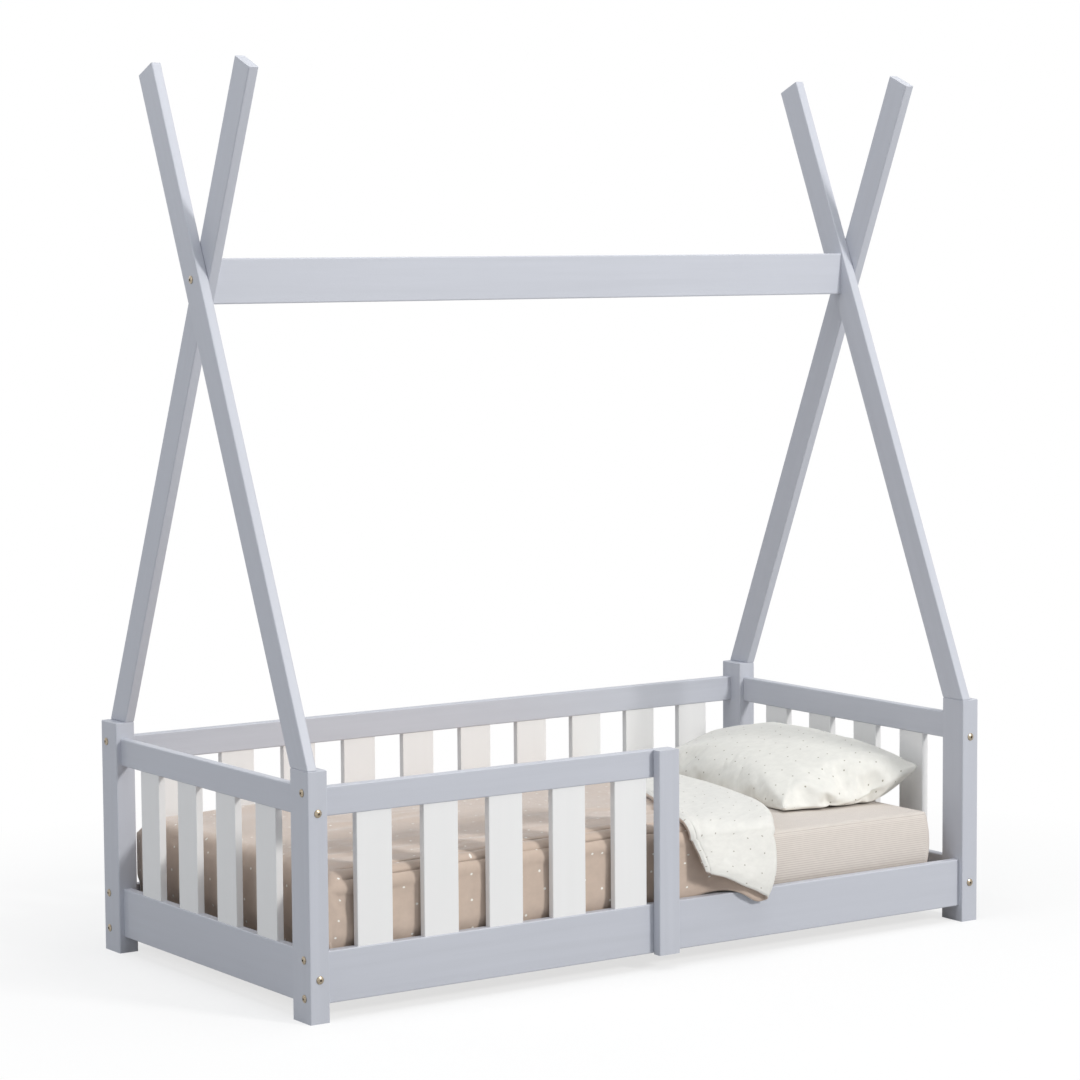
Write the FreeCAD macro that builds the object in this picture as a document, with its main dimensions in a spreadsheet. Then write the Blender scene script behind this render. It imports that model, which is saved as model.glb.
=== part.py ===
import FreeCAD, Part
import math
import os
import re

import Sketcher
from FreeCAD import Placement, Rotation, Vector

# Teepee bed for a small child, with its bedding. Millimetres, +X towards the pillow, +Y away
# from the open side, +Z up. The origin is on the floor, midway along and across the whole part.

doc = FreeCAD.newDocument("teepee_bed")

# Driving sizes

SIZES = {
    # the whole frame and its four corner posts
    "bed_length": 1480,
    "bed_width": 764,
    "post_thick": 38,
    "post_wide": 60,
    "post_height": 430,
    "edge_round": 2.5,
    "end_chamfer": 1.4,
    # the crossed poles and the ridge board between them
    "pole_thick": 19,
    "pole_length": 1290,
    "crossing_height": 1245,
    "ridge_high": 80,
    "ridge_thick": 20,
    "ridge_below_crossing": 43,
    # rails
    "rail_thick": 18,
    "rail_recess": 11,
    "floor_gap": 30,
    "bottom_rail_top": 120,
    "top_rail_high": 50,
    "top_rail_drop": 30,
    # slats of the sides and the ends
    "slat_wide": 70,
    "slat_thick": 14,
    "slat_round": 1.5,
    "tenon_wide": 50,
    "tenon_thick": 8,
    "tenon_deep": 12,
    "guard_slat_to_middle": 35.5,
    "guard_slat_count": 5,
    "back_slat_count": 10,
    "end_slat_count": 4,
    # the short post where the guard ends
    "mid_post_wide": 45,
    "mid_post_thick": 20,
    "mid_post_drop": 2,
    # slatted base
    "ledge_high": 25,
    "ledge_deep": 20,
    "ledge_end_gap": 14,
    "base_low": 83,
    "base_slat_thick": 12,
    "base_slat_wide": 60,
    "base_slat_count": 12,
    "base_side_gap": 1,
    # bolts and barrel nuts
    "bolt_radius": 3,
    "bolt_head_radius": 7,
    "bolt_head_high": 3,
    "bolt_rim": 0.8,
    "socket_radius": 2.3,
    "socket_deep": 1.8,
    "nut_radius": 5,
    "nut_long": 13,
    "nut_setback": 30,
    "bolt_past_nut": 8,
    "bolt_edge": 12,
    "top_bolt_edge": 8,
    # dowels
    "dowel_radius": 4,
    "dowel_in_post": 12,
    "dowel_in_rail": 18,
    "dowel_edge": 16,
    "pole_dowel_spread": 26,
    "pole_dowel_half": 18,
    # screws
    "screw_radius": 2,
    "screw_head_radius": 4,
    "screw_head_high": 2.5,
    "screw_long": 35,
    "slat_screw_long": 28,
    "screw_edge": 12,
    "ledge_screw_count": 6,
    # mattress in its fitted sheet
    "mattress_side_gap": 8,
    "mattress_foot_gap": 21,
    "mattress_head_gap": 40,
    "mattress_thick": 119,
    "mattress_bulge": 5,
    "mattress_crown": 3,
    "mattress_edge": 14,
    "mattress_corner": 22,
    "sheet_thick": 1.2,
    "sheet_tuck": 45,
    # duvet
    "duvet_thick": 34,
    "duvet_side_thick": 7,
    "duvet_edge_fall": 7,
    "duvet_edge": 40,
    "duvet_tuck": 20,
    "duvet_hem": 5,
    "turn_thick": 16,
    "turn_nose": 18,
    "turn_skew": 104,
    "turn_back_wide": 92,
    "flap_to_mid_post": 35,
    "flap_thick": 12,
    "flap_drop": 23,
    "flap_out": 4,
    # pillow
    "pillow_wide_share": 0.216,
    "pillow_high": 134,
    "pillow_seam": 48,
    "pillow_ear": 5,
    "pillow_overhang": 34,
    "pillow_front_gap": 95,
    "pillow_back_gap": 35,
    "pillow_to_duvet": 16,
    "pillow_draw_share": 0.095,
    "pillow_full_power": 0.8,
    # gaps between pieces
    "fit_gap": 0.1,
    "soft_gap": 0.3,
    "overrun": 2,
}

# Sizes that follow from the driving ones

DERIVED = {
    "half_length": "bed_length / 2",
    "half_width": "bed_width / 2",
    "bay_end": "half_length - post_thick",
    "end_span": "bed_width - 2 * post_wide",
    "end_rail_centre": "half_length - post_thick / 2",
    "rail_out": "half_width - rail_recess",
    "rail_in": "rail_out - rail_thick",
    "rail_centre": "rail_out - rail_thick / 2",
    "front_reach": "rail_out + mid_post_thick",
    "back_reach": "half_width + bolt_head_high",
    "shift": "(front_reach - back_reach) / 2",
    "bottom_rail_high": "bottom_rail_top - floor_gap",
    "top_rail_top": "post_height - top_rail_drop",
    "top_rail_low": "top_rail_top - top_rail_high",
    "slat_high": "top_rail_low - bottom_rail_top",
    "slat_side": "(rail_thick - slat_thick) / 2",
    "frame_round": "min(edge_round; rail_thick / 4)",
    "guard_slat_gap": "(bay_end - guard_slat_to_middle) / guard_slat_count - slat_wide",
    "back_slat_gap": "(2 * bay_end - back_slat_count * slat_wide) / (back_slat_count + 1)",
    "end_slat_gap": "(end_span - end_slat_count * slat_wide) / (end_slat_count + 1)",
    "guard_end": "mid_post_wide / 2",
    "lean": "atan((half_width - post_wide / 2) / (crossing_height - post_height))",
    "pole_across": "post_wide * cos(lean)",
    "ridge_low": "crossing_height - ridge_below_crossing",
    "hole_radius": "bolt_radius + fit_gap",
    "nut_hole_radius": "nut_radius + fit_gap",
    "dowel_hole_radius": "dowel_radius + fit_gap",
    "screw_hole_radius": "screw_radius + fit_gap",
    "bolt_in_rail": "nut_setback + bolt_past_nut",
    "bolt_hole_in_rail": "bolt_in_rail + overrun",
    "low_bolt": "floor_gap + bolt_edge",
    "high_bolt": "bottom_rail_top - bolt_edge",
    "rail_middle": "(floor_gap + bottom_rail_top) / 2",
    "long_top_bolt": "top_rail_top - top_bolt_edge",
    "long_top_dowel": "top_rail_low + dowel_edge",
    "end_top_bolt": "top_rail_low + top_bolt_edge",
    "end_top_dowel": "top_rail_top - dowel_edge",
    "ridge_dowel": "ridge_low + dowel_edge",
    "base_top": "base_low + base_slat_thick",
    "ledge_low": "base_low - ledge_high",
    "ledge_half": "bay_end - ledge_end_gap",
    "ledge_middle": "rail_in - ledge_deep / 2",
    "base_pitch": "(2 * ledge_half - base_slat_wide) / (base_slat_count - 1)",
    "ledge_screw_pitch": "(2 * ledge_half - 2 * screw_inset) / (ledge_screw_count - 1)",
    "screw_inset": "base_slat_wide / 2 + base_pitch / 2",
    "base_half": "rail_in - base_side_gap",
    "mattress_low": "base_top + soft_gap",
    "mattress_top": "mattress_low + mattress_thick",
    "mattress_side": "rail_in - mattress_side_gap",
    "mattress_foot": "bay_end - mattress_foot_gap",
    "mattress_head": "bay_end - mattress_head_gap",
    "pillow_long": "2 * mattress_side - pillow_front_gap - pillow_back_gap",
    "pillow_wide": "pillow_wide_share * (mattress_foot + mattress_head)",
    "pillow_middle": "(pillow_front_gap - pillow_back_gap) / 2",
    "pillow_head": "mattress_head + pillow_overhang",
    "pillow_foot": "pillow_head - pillow_wide",
    "pillow_low": "mattress_top + soft_gap",
    "turn_back": "pillow_foot - pillow_to_duvet",
    "turn_front": "turn_back - turn_skew",
    "turn_front_wide": "turn_front - guard_end - flap_to_mid_post",
    "duvet_top": "mattress_top + duvet_thick",
    "duvet_side": "rail_in - soft_gap",
    "duvet_foot": "mattress_foot + duvet_side_thick + soft_gap",
    "duvet_low": "base_top + duvet_hem",
    "turn_top": "duvet_top + turn_thick",
}

sheet = doc.addObject("Spreadsheet::Sheet", "sizes")
sheet.Label = "sizes"
for row, (alias, number) in enumerate(SIZES.items(), 1):
    sheet.set(f"A{row}", alias)
    sheet.set(f"B{row}", str(number))
    sheet.setAlias(f"B{row}", alias)
doc.recompute()


def expression(text):
    """The text with each size's name turned into its cell, and each derived name written out."""

    def written_out(match):
        word = match.group(0)
        if word in DERIVED:
            return "(" + expression(DERIVED[word]) + ")"
        return "sizes." + word if word in SIZES else word

    return re.sub(r"[a-z_]+", written_out, text)


def value(text):
    """What the text comes to, as a number."""
    return float(sheet.evalExpression(expression(text)))


def bind(thing, prop, text):
    """Ties a property to the sheet."""
    thing.setExpression(prop, expression(str(text)))


nodes = []


def put(thing, x_text, y_text, z_text):
    """Makes the thing a sub-part, with its own origin at that place in the bed."""
    bind(thing, ".Placement.Base.x", x_text)
    bind(thing, ".Placement.Base.y", f"({y_text}) + shift")
    bind(thing, ".Placement.Base.z", z_text)
    nodes.append(thing)
    return thing


# Sketches, pads and pockets

PLANE_ACROSS = {"x": "YZ_Plane", "y": "XZ_Plane", "z": "XY_Plane"}
AXIS_ALONG = {"x": "X_Axis", "y": "Y_Axis", "z": "Z_Axis"}
UNIT = {"x": Vector(1, 0, 0), "y": Vector(0, 1, 0), "z": Vector(0, 0, 1)}


def body_named(name):
    body = doc.addObject("PartDesign::Body", name)
    body.Label = name
    return body


def origin_part(body, role):
    return next(f for f in body.Origin.OriginFeatures if f.Role == role)


def sketch_across(body, axis, start):
    """A sketch square to the axis, in the plane where that coordinate is start."""
    sketch = body.newObject("Sketcher::SketchObject", body.Name + "_sketch")
    sketch.AttachmentSupport = [(origin_part(body, PLANE_ACROSS[axis]), "")]
    sketch.MapMode = "FlatFace"
    sign = "-1" if axis == "y" else "1"
    bind(sketch, ".AttachmentOffset.Base.z", f"{sign} * ({start})")
    return sketch


def pin_point(sketch, geometry, corner, u_text, v_text):
    """Fixes a point of the sketch at a place given by two texts."""
    for kind, text, axis in (("DistanceX", u_text, -2), ("DistanceY", v_text, -1)):
        if str(text) == "0":
            sketch.addConstraint(Sketcher.Constraint("PointOnObject", geometry, corner, axis))
            continue
        place = value(str(text))
        index = sketch.addConstraint(
            Sketcher.Constraint(kind, -1, 1, geometry, corner, place)
        )
        bind(sketch, f"Constraints[{index}]", text)


def add_polygon(sketch, corners):
    """A closed outline through corners, each a pair of texts."""
    points = [Vector(value(str(u)), value(str(v)), 0) for u, v in corners]
    first = sketch.GeometryCount
    count = len(points)
    for index in range(count):
        line = Part.LineSegment(points[index], points[(index + 1) % count])
        sketch.addGeometry(line, False)
    for index in range(count):
        after = first + (index + 1) % count
        sketch.addConstraint(Sketcher.Constraint("Coincident", first + index, 2, after, 1))
    for index, (u_text, v_text) in enumerate(corners):
        pin_point(sketch, first + index, 1, u_text, v_text)


def add_rectangle(sketch, u_text, v_text, wide, high):
    u_end = f"{u_text} + {wide}"
    v_end = f"{v_text} + {high}"
    add_polygon(sketch, [(u_text, v_text), (u_end, v_text), (u_end, v_end), (u_text, v_end)])


def add_circle(sketch, u_text, v_text, radius):
    centre = Vector(value(str(u_text)), value(str(v_text)), 0)
    circle = Part.Circle(centre, Vector(0, 0, 1), value(radius))
    index = sketch.addGeometry(circle, False)
    pin_point(sketch, index, 3, u_text, v_text)
    constraint = sketch.addConstraint(Sketcher.Constraint("Radius", index, value(radius)))
    bind(sketch, f"Constraints[{constraint}]", radius)


def pad(body, sketch, length, axis):
    """Grows the sketch along +axis."""
    feature = body.newObject("PartDesign::Pad", body.Name + "_pad")
    feature.Profile = sketch
    bind(feature, "Length", length)
    feature.Reversed = axis == "y"
    return feature


def pocket(body, sketch, depth, axis):
    """Cuts the sketch out along +axis."""
    feature = body.newObject("PartDesign::Pocket", body.Name + "_pocket")
    feature.Profile = sketch
    bind(feature, "Length", depth)
    feature.Reversed = axis != "y"
    return feature


def drill(body, axis, centres, radius, start, depth):
    """Round holes along +axis from start, at centres in the plane across that axis."""
    sketch = sketch_across(body, axis, start)
    for u_text, v_text in centres:
        add_circle(sketch, u_text, v_text, radius)
    return pocket(body, sketch, depth, axis)


def repeat(body, original, axis, pitch, count):
    """Copies of a feature in a row, the first where the original is."""
    pattern = body.newObject("PartDesign::LinearPattern", body.Name + "_row")
    pattern.Originals = [original]
    pattern.Direction = (origin_part(body, AXIS_ALONG[axis]), [""])
    bind(pattern, "Length", f"({pitch}) * ({count} - 1)")
    bind(pattern, "Occurrences", count)
    body.Tip = pattern
    return pattern


def bar(name, size, long_axis, rounding="frame_round"):
    """A straight piece of timber with rounded long edges, from its own lowest corner."""
    body = body_named(name)
    sketch = sketch_across(body, "z", 0)
    add_rectangle(sketch, 0, 0, size[0], size[1])
    solid = pad(body, sketch, size[2], "z")
    doc.recompute()
    along = UNIT[long_axis]
    long_edges = [
        f"Edge{number}"
        for number, edge in enumerate(solid.Shape.Edges, 1)
        if edge.tangentAt(edge.FirstParameter).cross(along).Length < edge.Length / 1e6
    ]
    fillet = body.newObject("PartDesign::Fillet", name + "_round")
    fillet.Base = (solid, long_edges)
    bind(fillet, "Radius", rounding)
    return body


def ease_end(body, height):
    """Takes the sharp edge off the piece's level end at that height above its own origin."""
    doc.recompute()
    solid = body.Tip
    level = [
        f"Edge{number}"
        for number, edge in enumerate(solid.Shape.Edges, 1)
        if max(abs(vertex.Z - value(height)) for vertex in edge.Vertexes) < 0.001
    ]
    chamfer = body.newObject("PartDesign::Chamfer", body.Name + "_eased")
    chamfer.Base = (solid, level)
    bind(chamfer, "Size", "end_chamfer")


# Corner posts

FOOT_HOLES = {"foot": "post_thick - dowel_in_post - fit_gap", "head": "-1 * overrun"}
PILOT_DEEP = "dowel_in_post + fit_gap + overrun"


def post(end, side):
    """A corner post, drilled for the rails that meet it and for the pole on its top."""
    name = f"post_{end}_{side}"
    body = bar(name, ("post_thick", "post_wide", "post_height"), "z")
    ease_end(body, "post_height")
    front = side == "front"
    rail_y = "half_width - rail_centre" if front else "post_wide - half_width + rail_centre"
    mid_x = "post_thick / 2"

    bolts = ["low_bolt", "high_bolt"]
    dowels = ["rail_middle"]
    if not (front and end == "head"):
        bolts.append("long_top_bolt")
        dowels.append("long_top_dowel")
    through = "post_thick + 2 * overrun"
    drill(body, "x", [(rail_y, z) for z in bolts], "hole_radius", "-1 * overrun", through)
    drill(body, "x", [(rail_y, z) for z in dowels], "dowel_hole_radius",
          FOOT_HOLES[end], PILOT_DEEP)

    through = "post_wide + 2 * overrun"
    end_bolts = [(mid_x, "rail_middle"), (mid_x, "end_top_bolt")]
    end_dowels = [(mid_x, z) for z in ("low_bolt", "high_bolt", "end_top_dowel")]
    drill(body, "y", end_bolts, "hole_radius", "-1 * overrun", through)
    start = "post_wide - dowel_in_post - fit_gap" if front else "-1 * overrun"
    drill(body, "y", end_dowels, "dowel_hole_radius", start, PILOT_DEEP)

    pole_x = "pole_thick / 2" if front else "post_thick - pole_thick / 2"
    pole_dowels = [(pole_x, f"(post_wide {sign} pole_dowel_spread) / 2") for sign in "-+"]
    start = "post_height - pole_dowel_half - fit_gap"
    drill(body, "z", pole_dowels, "dowel_hole_radius", start,
          "pole_dowel_half + fit_gap + overrun")

    x_text = "-1 * half_length" if end == "foot" else "bay_end"
    y_text = "-1 * half_width" if front else "half_width - post_wide"
    return put(body, x_text, y_text, 0)


for end in ("foot", "head"):
    for side in ("front", "back"):
        post(end, side)

# Crossed poles. Both lie side by side on the post's thickness: the front one on the foot side.


def pole(end, side):
    """A slanting pole: cut level where it stands on its post, and square at its tip."""
    front = side == "front"
    body = body_named(f"pole_{end}_{side}")
    sketch = sketch_across(body, "x", 0)
    tip_u = "post_wide / 2 + pole_length * sin(lean)"
    tip_v = "pole_length * cos(lean)"
    half_u = "pole_across / 2 * cos(lean)"
    half_v = "pole_across / 2 * sin(lean)"
    add_polygon(sketch, [
        (0, 0),
        ("post_wide", 0),
        (f"{tip_u} + {half_u}", f"{tip_v} - {half_v}"),
        (f"{tip_u} - {half_u}", f"{tip_v} + {half_v}"),
    ])
    solid = pad(body, sketch, "pole_thick", "x")
    doc.recompute()
    slope = Vector(0, value("sin(lean)"), value("cos(lean)"))
    long_edges = [
        f"Edge{number}"
        for number, edge in enumerate(solid.Shape.Edges, 1)
        if edge.tangentAt(edge.FirstParameter).cross(slope).Length < edge.Length / 1e6
    ]
    fillet = body.newObject("PartDesign::Fillet", body.Name + "_round")
    fillet.Base = (solid, long_edges)
    bind(fillet, "Radius", "frame_round")
    ease_end(body, "0")

    crossing = ("half_width", "crossing_height - post_height")
    through = "pole_thick + 2 * overrun"
    drill(body, "x", [crossing], "hole_radius", "-1 * overrun", through)
    feet = [("pole_thick / 2", f"(post_wide {sign} pole_dowel_spread) / 2") for sign in "-+"]
    drill(body, "z", feet, "dowel_hole_radius", "-1 * overrun",
          "pole_dowel_half + fit_gap + overrun")
    meets_ridge = front == (end == "head")
    if meets_ridge:
        drill(body, "x", [("half_width", "ridge_dowel - post_height")], "dowel_hole_radius",
              "-1 * overrun", PILOT_DEEP)

    if front:
        x_text = "-1 * half_length" if end == "foot" else "bay_end"
        return put(body, x_text, "-1 * half_width", "post_height")
    body.Placement = Placement(Vector(), Rotation(Vector(0, 0, 1), 180))
    x_text = "-1 * bay_end" if end == "foot" else "half_length"
    return put(body, x_text, "half_width", "post_height")


for end in ("foot", "head"):
    for side in ("front", "back"):
        pole(end, side)

# Rails. Each end takes bolts into barrel nuts, and dowels that stop it turning.

ENDS_OF_RAIL = ("low", "high")


def bolt_end(body, axis, span, across, bolts, dowels, which):
    """Bolt, nut and dowel holes in one end of a rail that runs along the axis.

    across is the rail's thickness. The nut goes in from its back or head face."""
    low = which == "low"
    middle = f"{across} / 2"
    start = "-1 * overrun" if low else f"{span} - bolt_hole_in_rail"
    drill(body, axis, [(middle, z) for z in bolts], "hole_radius", start,
          "bolt_hole_in_rail + overrun")
    start = "-1 * overrun" if low else f"{span} - dowel_in_rail - fit_gap"
    drill(body, axis, [(middle, z) for z in dowels], "dowel_hole_radius", start,
          "dowel_in_rail + fit_gap + overrun")
    nut_place = "nut_setback" if low else f"{span} - nut_setback"
    nut_deep = f"({across} + nut_long) / 2 + fit_gap"
    other = "y" if axis == "x" else "x"
    drill(body, other, [(nut_place, z) for z in bolts], "nut_hole_radius",
          f"{across} - ({nut_deep})", f"{nut_deep} + overrun")


def mortises(body, axis, first, across, pitch, count, high, at_top):
    """Slots for the slats' tenons, in the rail's top or bottom face."""
    start = f"{high} - tenon_deep - fit_gap" if at_top else "-1 * overrun"
    sketch = sketch_across(body, "z", start)
    along = (f"{first} + (slat_wide - tenon_wide) / 2 - fit_gap", "tenon_wide + 2 * fit_gap")
    side = (f"({across} - tenon_thick) / 2 - fit_gap", "tenon_thick + 2 * fit_gap")
    u_side, v_side = (along, side) if axis == "x" else (side, along)
    add_rectangle(sketch, u_side[0], v_side[0], u_side[1], v_side[1])
    slot = pocket(body, sketch, "tenon_deep + fit_gap + overrun", "z")
    repeat(body, slot, axis, pitch, count)


def local(texts, base):
    """Heights measured from a piece's own foot instead of from the floor."""
    return [f"{text} - ({base})" for text in texts]


LONG_SPAN = "2 * bay_end"
BOTTOM_BOLTS = local(["low_bolt", "high_bolt"], "floor_gap")
BOTTOM_MIDDLE = local(["rail_middle"], "floor_gap")
LONG_TOP_BOLT = local(["long_top_bolt"], "top_rail_low")
LONG_TOP_DOWEL = local(["long_top_dowel"], "top_rail_low")
END_TOP_BOLT = local(["end_top_bolt"], "top_rail_low")
END_TOP_DOWEL = local(["end_top_dowel"], "top_rail_low")
MID_SCREWS = ("-1 * mid_post_wide / 4", "mid_post_wide / 4")


def ledge_screw_holes(body, inner):
    """Blind holes for the ledge's screws, in the inner face of a long bottom rail."""
    deep = "screw_long - ledge_deep + fit_gap"
    first = "ledge_end_gap + screw_inset"
    height = "ledge_low + ledge_high / 2 - floor_gap"
    start = "-1 * overrun" if inner == "low" else f"rail_thick - ({deep})"
    hole = drill(body, "y", [(first, height)], "screw_hole_radius", start,
                 f"{deep} + overrun")
    repeat(body, hole, "x", "ledge_screw_pitch", "ledge_screw_count")


def mid_screw_holes(body, zero, height):
    """Holes through a front rail for the screws of the short post."""
    centres = [(f"{zero} + {place}", height) for place in MID_SCREWS]
    drill(body, "y", centres, "screw_hole_radius", "-1 * overrun",
          "rail_thick + 2 * overrun")
    drill(body, "y", centres, "screw_head_radius + fit_gap",
          "rail_thick - screw_head_high", "screw_head_high + overrun")


front_bottom = bar("front_bottom_rail", (LONG_SPAN, "rail_thick", "bottom_rail_high"), "x")
back_bottom = bar("back_bottom_rail", (LONG_SPAN, "rail_thick", "bottom_rail_high"), "x")
back_top = bar("back_top_rail", (LONG_SPAN, "rail_thick", "top_rail_high"), "x")
guard = bar("front_guard_rail", ("bay_end + guard_end", "rail_thick", "top_rail_high"), "x")
for which in ENDS_OF_RAIL:
    bolt_end(front_bottom, "x", LONG_SPAN, "rail_thick", BOTTOM_BOLTS, BOTTOM_MIDDLE, which)
    bolt_end(back_bottom, "x", LONG_SPAN, "rail_thick", BOTTOM_BOLTS, BOTTOM_MIDDLE, which)
    bolt_end(back_top, "x", LONG_SPAN, "rail_thick", LONG_TOP_BOLT, LONG_TOP_DOWEL, which)
bolt_end(guard, "x", LONG_SPAN, "rail_thick", LONG_TOP_BOLT, LONG_TOP_DOWEL, "low")

GUARD_ROW = ("guard_slat_gap", "rail_thick", "guard_slat_gap + slat_wide", "guard_slat_count")
BACK_ROW = ("back_slat_gap", "rail_thick", "back_slat_gap + slat_wide", "back_slat_count")
END_ROW = ("end_slat_gap", "rail_thick", "end_slat_gap + slat_wide", "end_slat_count")
mortises(front_bottom, "x", *GUARD_ROW, "bottom_rail_high", True)
mortises(guard, "x", *GUARD_ROW, "top_rail_high", False)
mortises(back_bottom, "x", *BACK_ROW, "bottom_rail_high", True)
mortises(back_top, "x", *BACK_ROW, "top_rail_high", False)
ledge_screw_holes(front_bottom, "high")
ledge_screw_holes(back_bottom, "low")
mid_screw_holes(front_bottom, "bay_end", "bottom_rail_high / 2")
mid_screw_holes(guard, "bay_end", "top_rail_high / 2")
put(front_bottom, "-1 * bay_end", "-1 * rail_out", "floor_gap")
put(guard, "-1 * bay_end", "-1 * rail_out", "top_rail_low")
put(back_bottom, "-1 * bay_end", "rail_in", "floor_gap")
put(back_top, "-1 * bay_end", "rail_in", "top_rail_low")

for end in ("foot", "head"):
    x_text = "-1 * end_rail_centre" if end == "foot" else "end_rail_centre"
    low_rail = bar(f"{end}_bottom_rail", ("rail_thick", "end_span", "bottom_rail_high"), "y")
    high_rail = bar(f"{end}_top_rail", ("rail_thick", "end_span", "top_rail_high"), "y")
    for which in ENDS_OF_RAIL:
        bolt_end(low_rail, "y", "end_span", "rail_thick", BOTTOM_MIDDLE, BOTTOM_BOLTS, which)
        bolt_end(high_rail, "y", "end_span", "rail_thick", END_TOP_BOLT, END_TOP_DOWEL, which)
    mortises(low_rail, "y", *END_ROW, "bottom_rail_high", True)
    mortises(high_rail, "y", *END_ROW, "top_rail_high", False)
    put(low_rail, f"{x_text} - rail_thick / 2", "-1 * end_span / 2", "floor_gap")
    put(high_rail, f"{x_text} - rail_thick / 2", "-1 * end_span / 2", "top_rail_low")

# Ridge board between the two crossings

ridge = bar("ridge_board", (LONG_SPAN, "ridge_thick", "ridge_high"), "x")
for which in ENDS_OF_RAIL:
    bolt_end(ridge, "x", LONG_SPAN, "ridge_thick", ["ridge_below_crossing"], ["dowel_edge"],
             which)
put(ridge, "-1 * bay_end", "-1 * ridge_thick / 2", "ridge_low")

# Short post on the outside of the front rails, where the guard ends

mid_post = bar(
    "mid_post",
    ("mid_post_wide", "mid_post_thick", "top_rail_top - floor_gap + mid_post_drop"),
    "z",
)
MID_POST_LOW = "floor_gap - mid_post_drop"
mid_centres = [
    (f"mid_post_wide / 2 + {place}", f"{height} - ({MID_POST_LOW})")
    for place in MID_SCREWS
    for height in ("rail_middle", "top_rail_low + top_rail_high / 2")
]
MID_BITE = "screw_long - rail_thick + fit_gap"
drill(mid_post, "y", mid_centres, "screw_hole_radius", f"mid_post_thick - ({MID_BITE})",
      f"{MID_BITE} + overrun")
put(mid_post, "-1 * mid_post_wide / 2", "-1 * front_reach", MID_POST_LOW)

# Slats, each with a tenon into the rail below it and the rail above it


def slat(name, axis):
    """An upright slat whose wide face runs along the axis."""
    size = ("slat_wide", "slat_thick") if axis == "x" else ("slat_thick", "slat_wide")
    body = bar(name, (*size, "slat_high"), "z", "min(slat_round; slat_thick / 4)")
    tenon = ("tenon_wide", "tenon_thick") if axis == "x" else ("tenon_thick", "tenon_wide")
    sketch = sketch_across(body, "z", "-1 * tenon_deep")
    add_rectangle(sketch, f"({size[0]} - {tenon[0]}) / 2", f"({size[1]} - {tenon[1]}) / 2",
                  tenon[0], tenon[1])
    pad(body, sketch, "slat_high + 2 * tenon_deep", "z")
    return body


def slat_row(name, axis, first, pitch, count, fixed):
    """The slats between two rails, from the foot end or from the front."""
    for number in range(int(value(count))):
        body = slat(f"{name}_{number + 1}", axis)
        place = f"{first} + {number} * ({pitch})"
        if axis == "x":
            put(body, place, f"{fixed} - slat_thick / 2", "bottom_rail_top")
        else:
            put(body, f"{fixed} - slat_thick / 2", place, "bottom_rail_top")


slat_row("guard_slat", "x", "guard_slat_gap - bay_end", "guard_slat_gap + slat_wide",
         "guard_slat_count", "-1 * rail_centre")
slat_row("back_slat", "x", "back_slat_gap - bay_end", "back_slat_gap + slat_wide",
         "back_slat_count", "rail_centre")
slat_row("foot_slat", "y", "end_slat_gap - end_span / 2", "end_slat_gap + slat_wide",
         "end_slat_count", "-1 * end_rail_centre")
slat_row("head_slat", "y", "end_slat_gap - end_span / 2", "end_slat_gap + slat_wide",
         "end_slat_count", "end_rail_centre")

# Ledges inside the long rails, which carry the slatted base


def ledge(side):
    """A square batten screwed to a long bottom rail, with holes for the base slats' screws."""
    front = side == "front"
    body = bar(f"{side}_ledge", ("2 * ledge_half", "ledge_deep", "ledge_high"), "x")
    middle = "ledge_high / 2"
    hole = drill(body, "y", [("screw_inset", middle)], "screw_hole_radius", "-1 * overrun",
                 "ledge_deep + 2 * overrun")
    repeat(body, hole, "x", "ledge_screw_pitch", "ledge_screw_count")
    start = "ledge_deep - screw_head_high" if front else "-1 * overrun"
    sink = drill(body, "y", [("screw_inset", middle)], "screw_head_radius + fit_gap", start,
                 "screw_head_high + overrun")
    repeat(body, sink, "x", "ledge_screw_pitch", "ledge_screw_count")
    bite = "slat_screw_long - base_slat_thick + fit_gap"
    hole = drill(body, "z", [("base_slat_wide / 2", "ledge_deep / 2")], "screw_hole_radius",
                 f"ledge_high - ({bite})", f"{bite} + overrun")
    repeat(body, hole, "x", "base_pitch", "base_slat_count")
    y_text = "-1 * rail_in" if front else "rail_in - ledge_deep"
    put(body, "-1 * ledge_half", y_text, "ledge_low")


ledge("front")
ledge("back")

# Groups of like pieces: one is modelled, and the rest are links to it


def group(name, template, places):
    """Copies of the template, each at a place and turned so that its +Z runs along a way."""
    links = []
    for number, (x_text, y_text, z_text, way) in enumerate(places, 1):
        link = doc.addObject("App::Link", f"{name}_{number}")
        link.LinkedObject = template
        link.LinkPlacement = Placement(Vector(), Rotation(Vector(0, 0, 1), way))
        bind(link, ".LinkPlacement.Base.x", x_text)
        bind(link, ".LinkPlacement.Base.y", f"({y_text}) + shift")
        bind(link, ".LinkPlacement.Base.z", z_text)
        links.append(link)
    compound = doc.addObject("Part::Compound", name)
    compound.Label = name
    compound.Links = links
    nodes.append(compound)
    return compound


def signed(sign, text):
    return f"{sign} * ({text})"


def cylinder(name, radius, height, base=0):
    """An upright cylinder on the axis, from base."""
    solid = doc.addObject("Part::Cylinder", name)
    bind(solid, "Radius", radius)
    bind(solid, "Height", height)
    bind(solid, ".Placement.Base.z", base)
    return solid


def combined(kind, name, first, second):
    """A boolean of two objects, of the kind Fuse, Cut or Common."""
    result = doc.addObject("Part::" + kind, name)
    result.Base = first
    result.Tool = second
    return result


# Base slats

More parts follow.
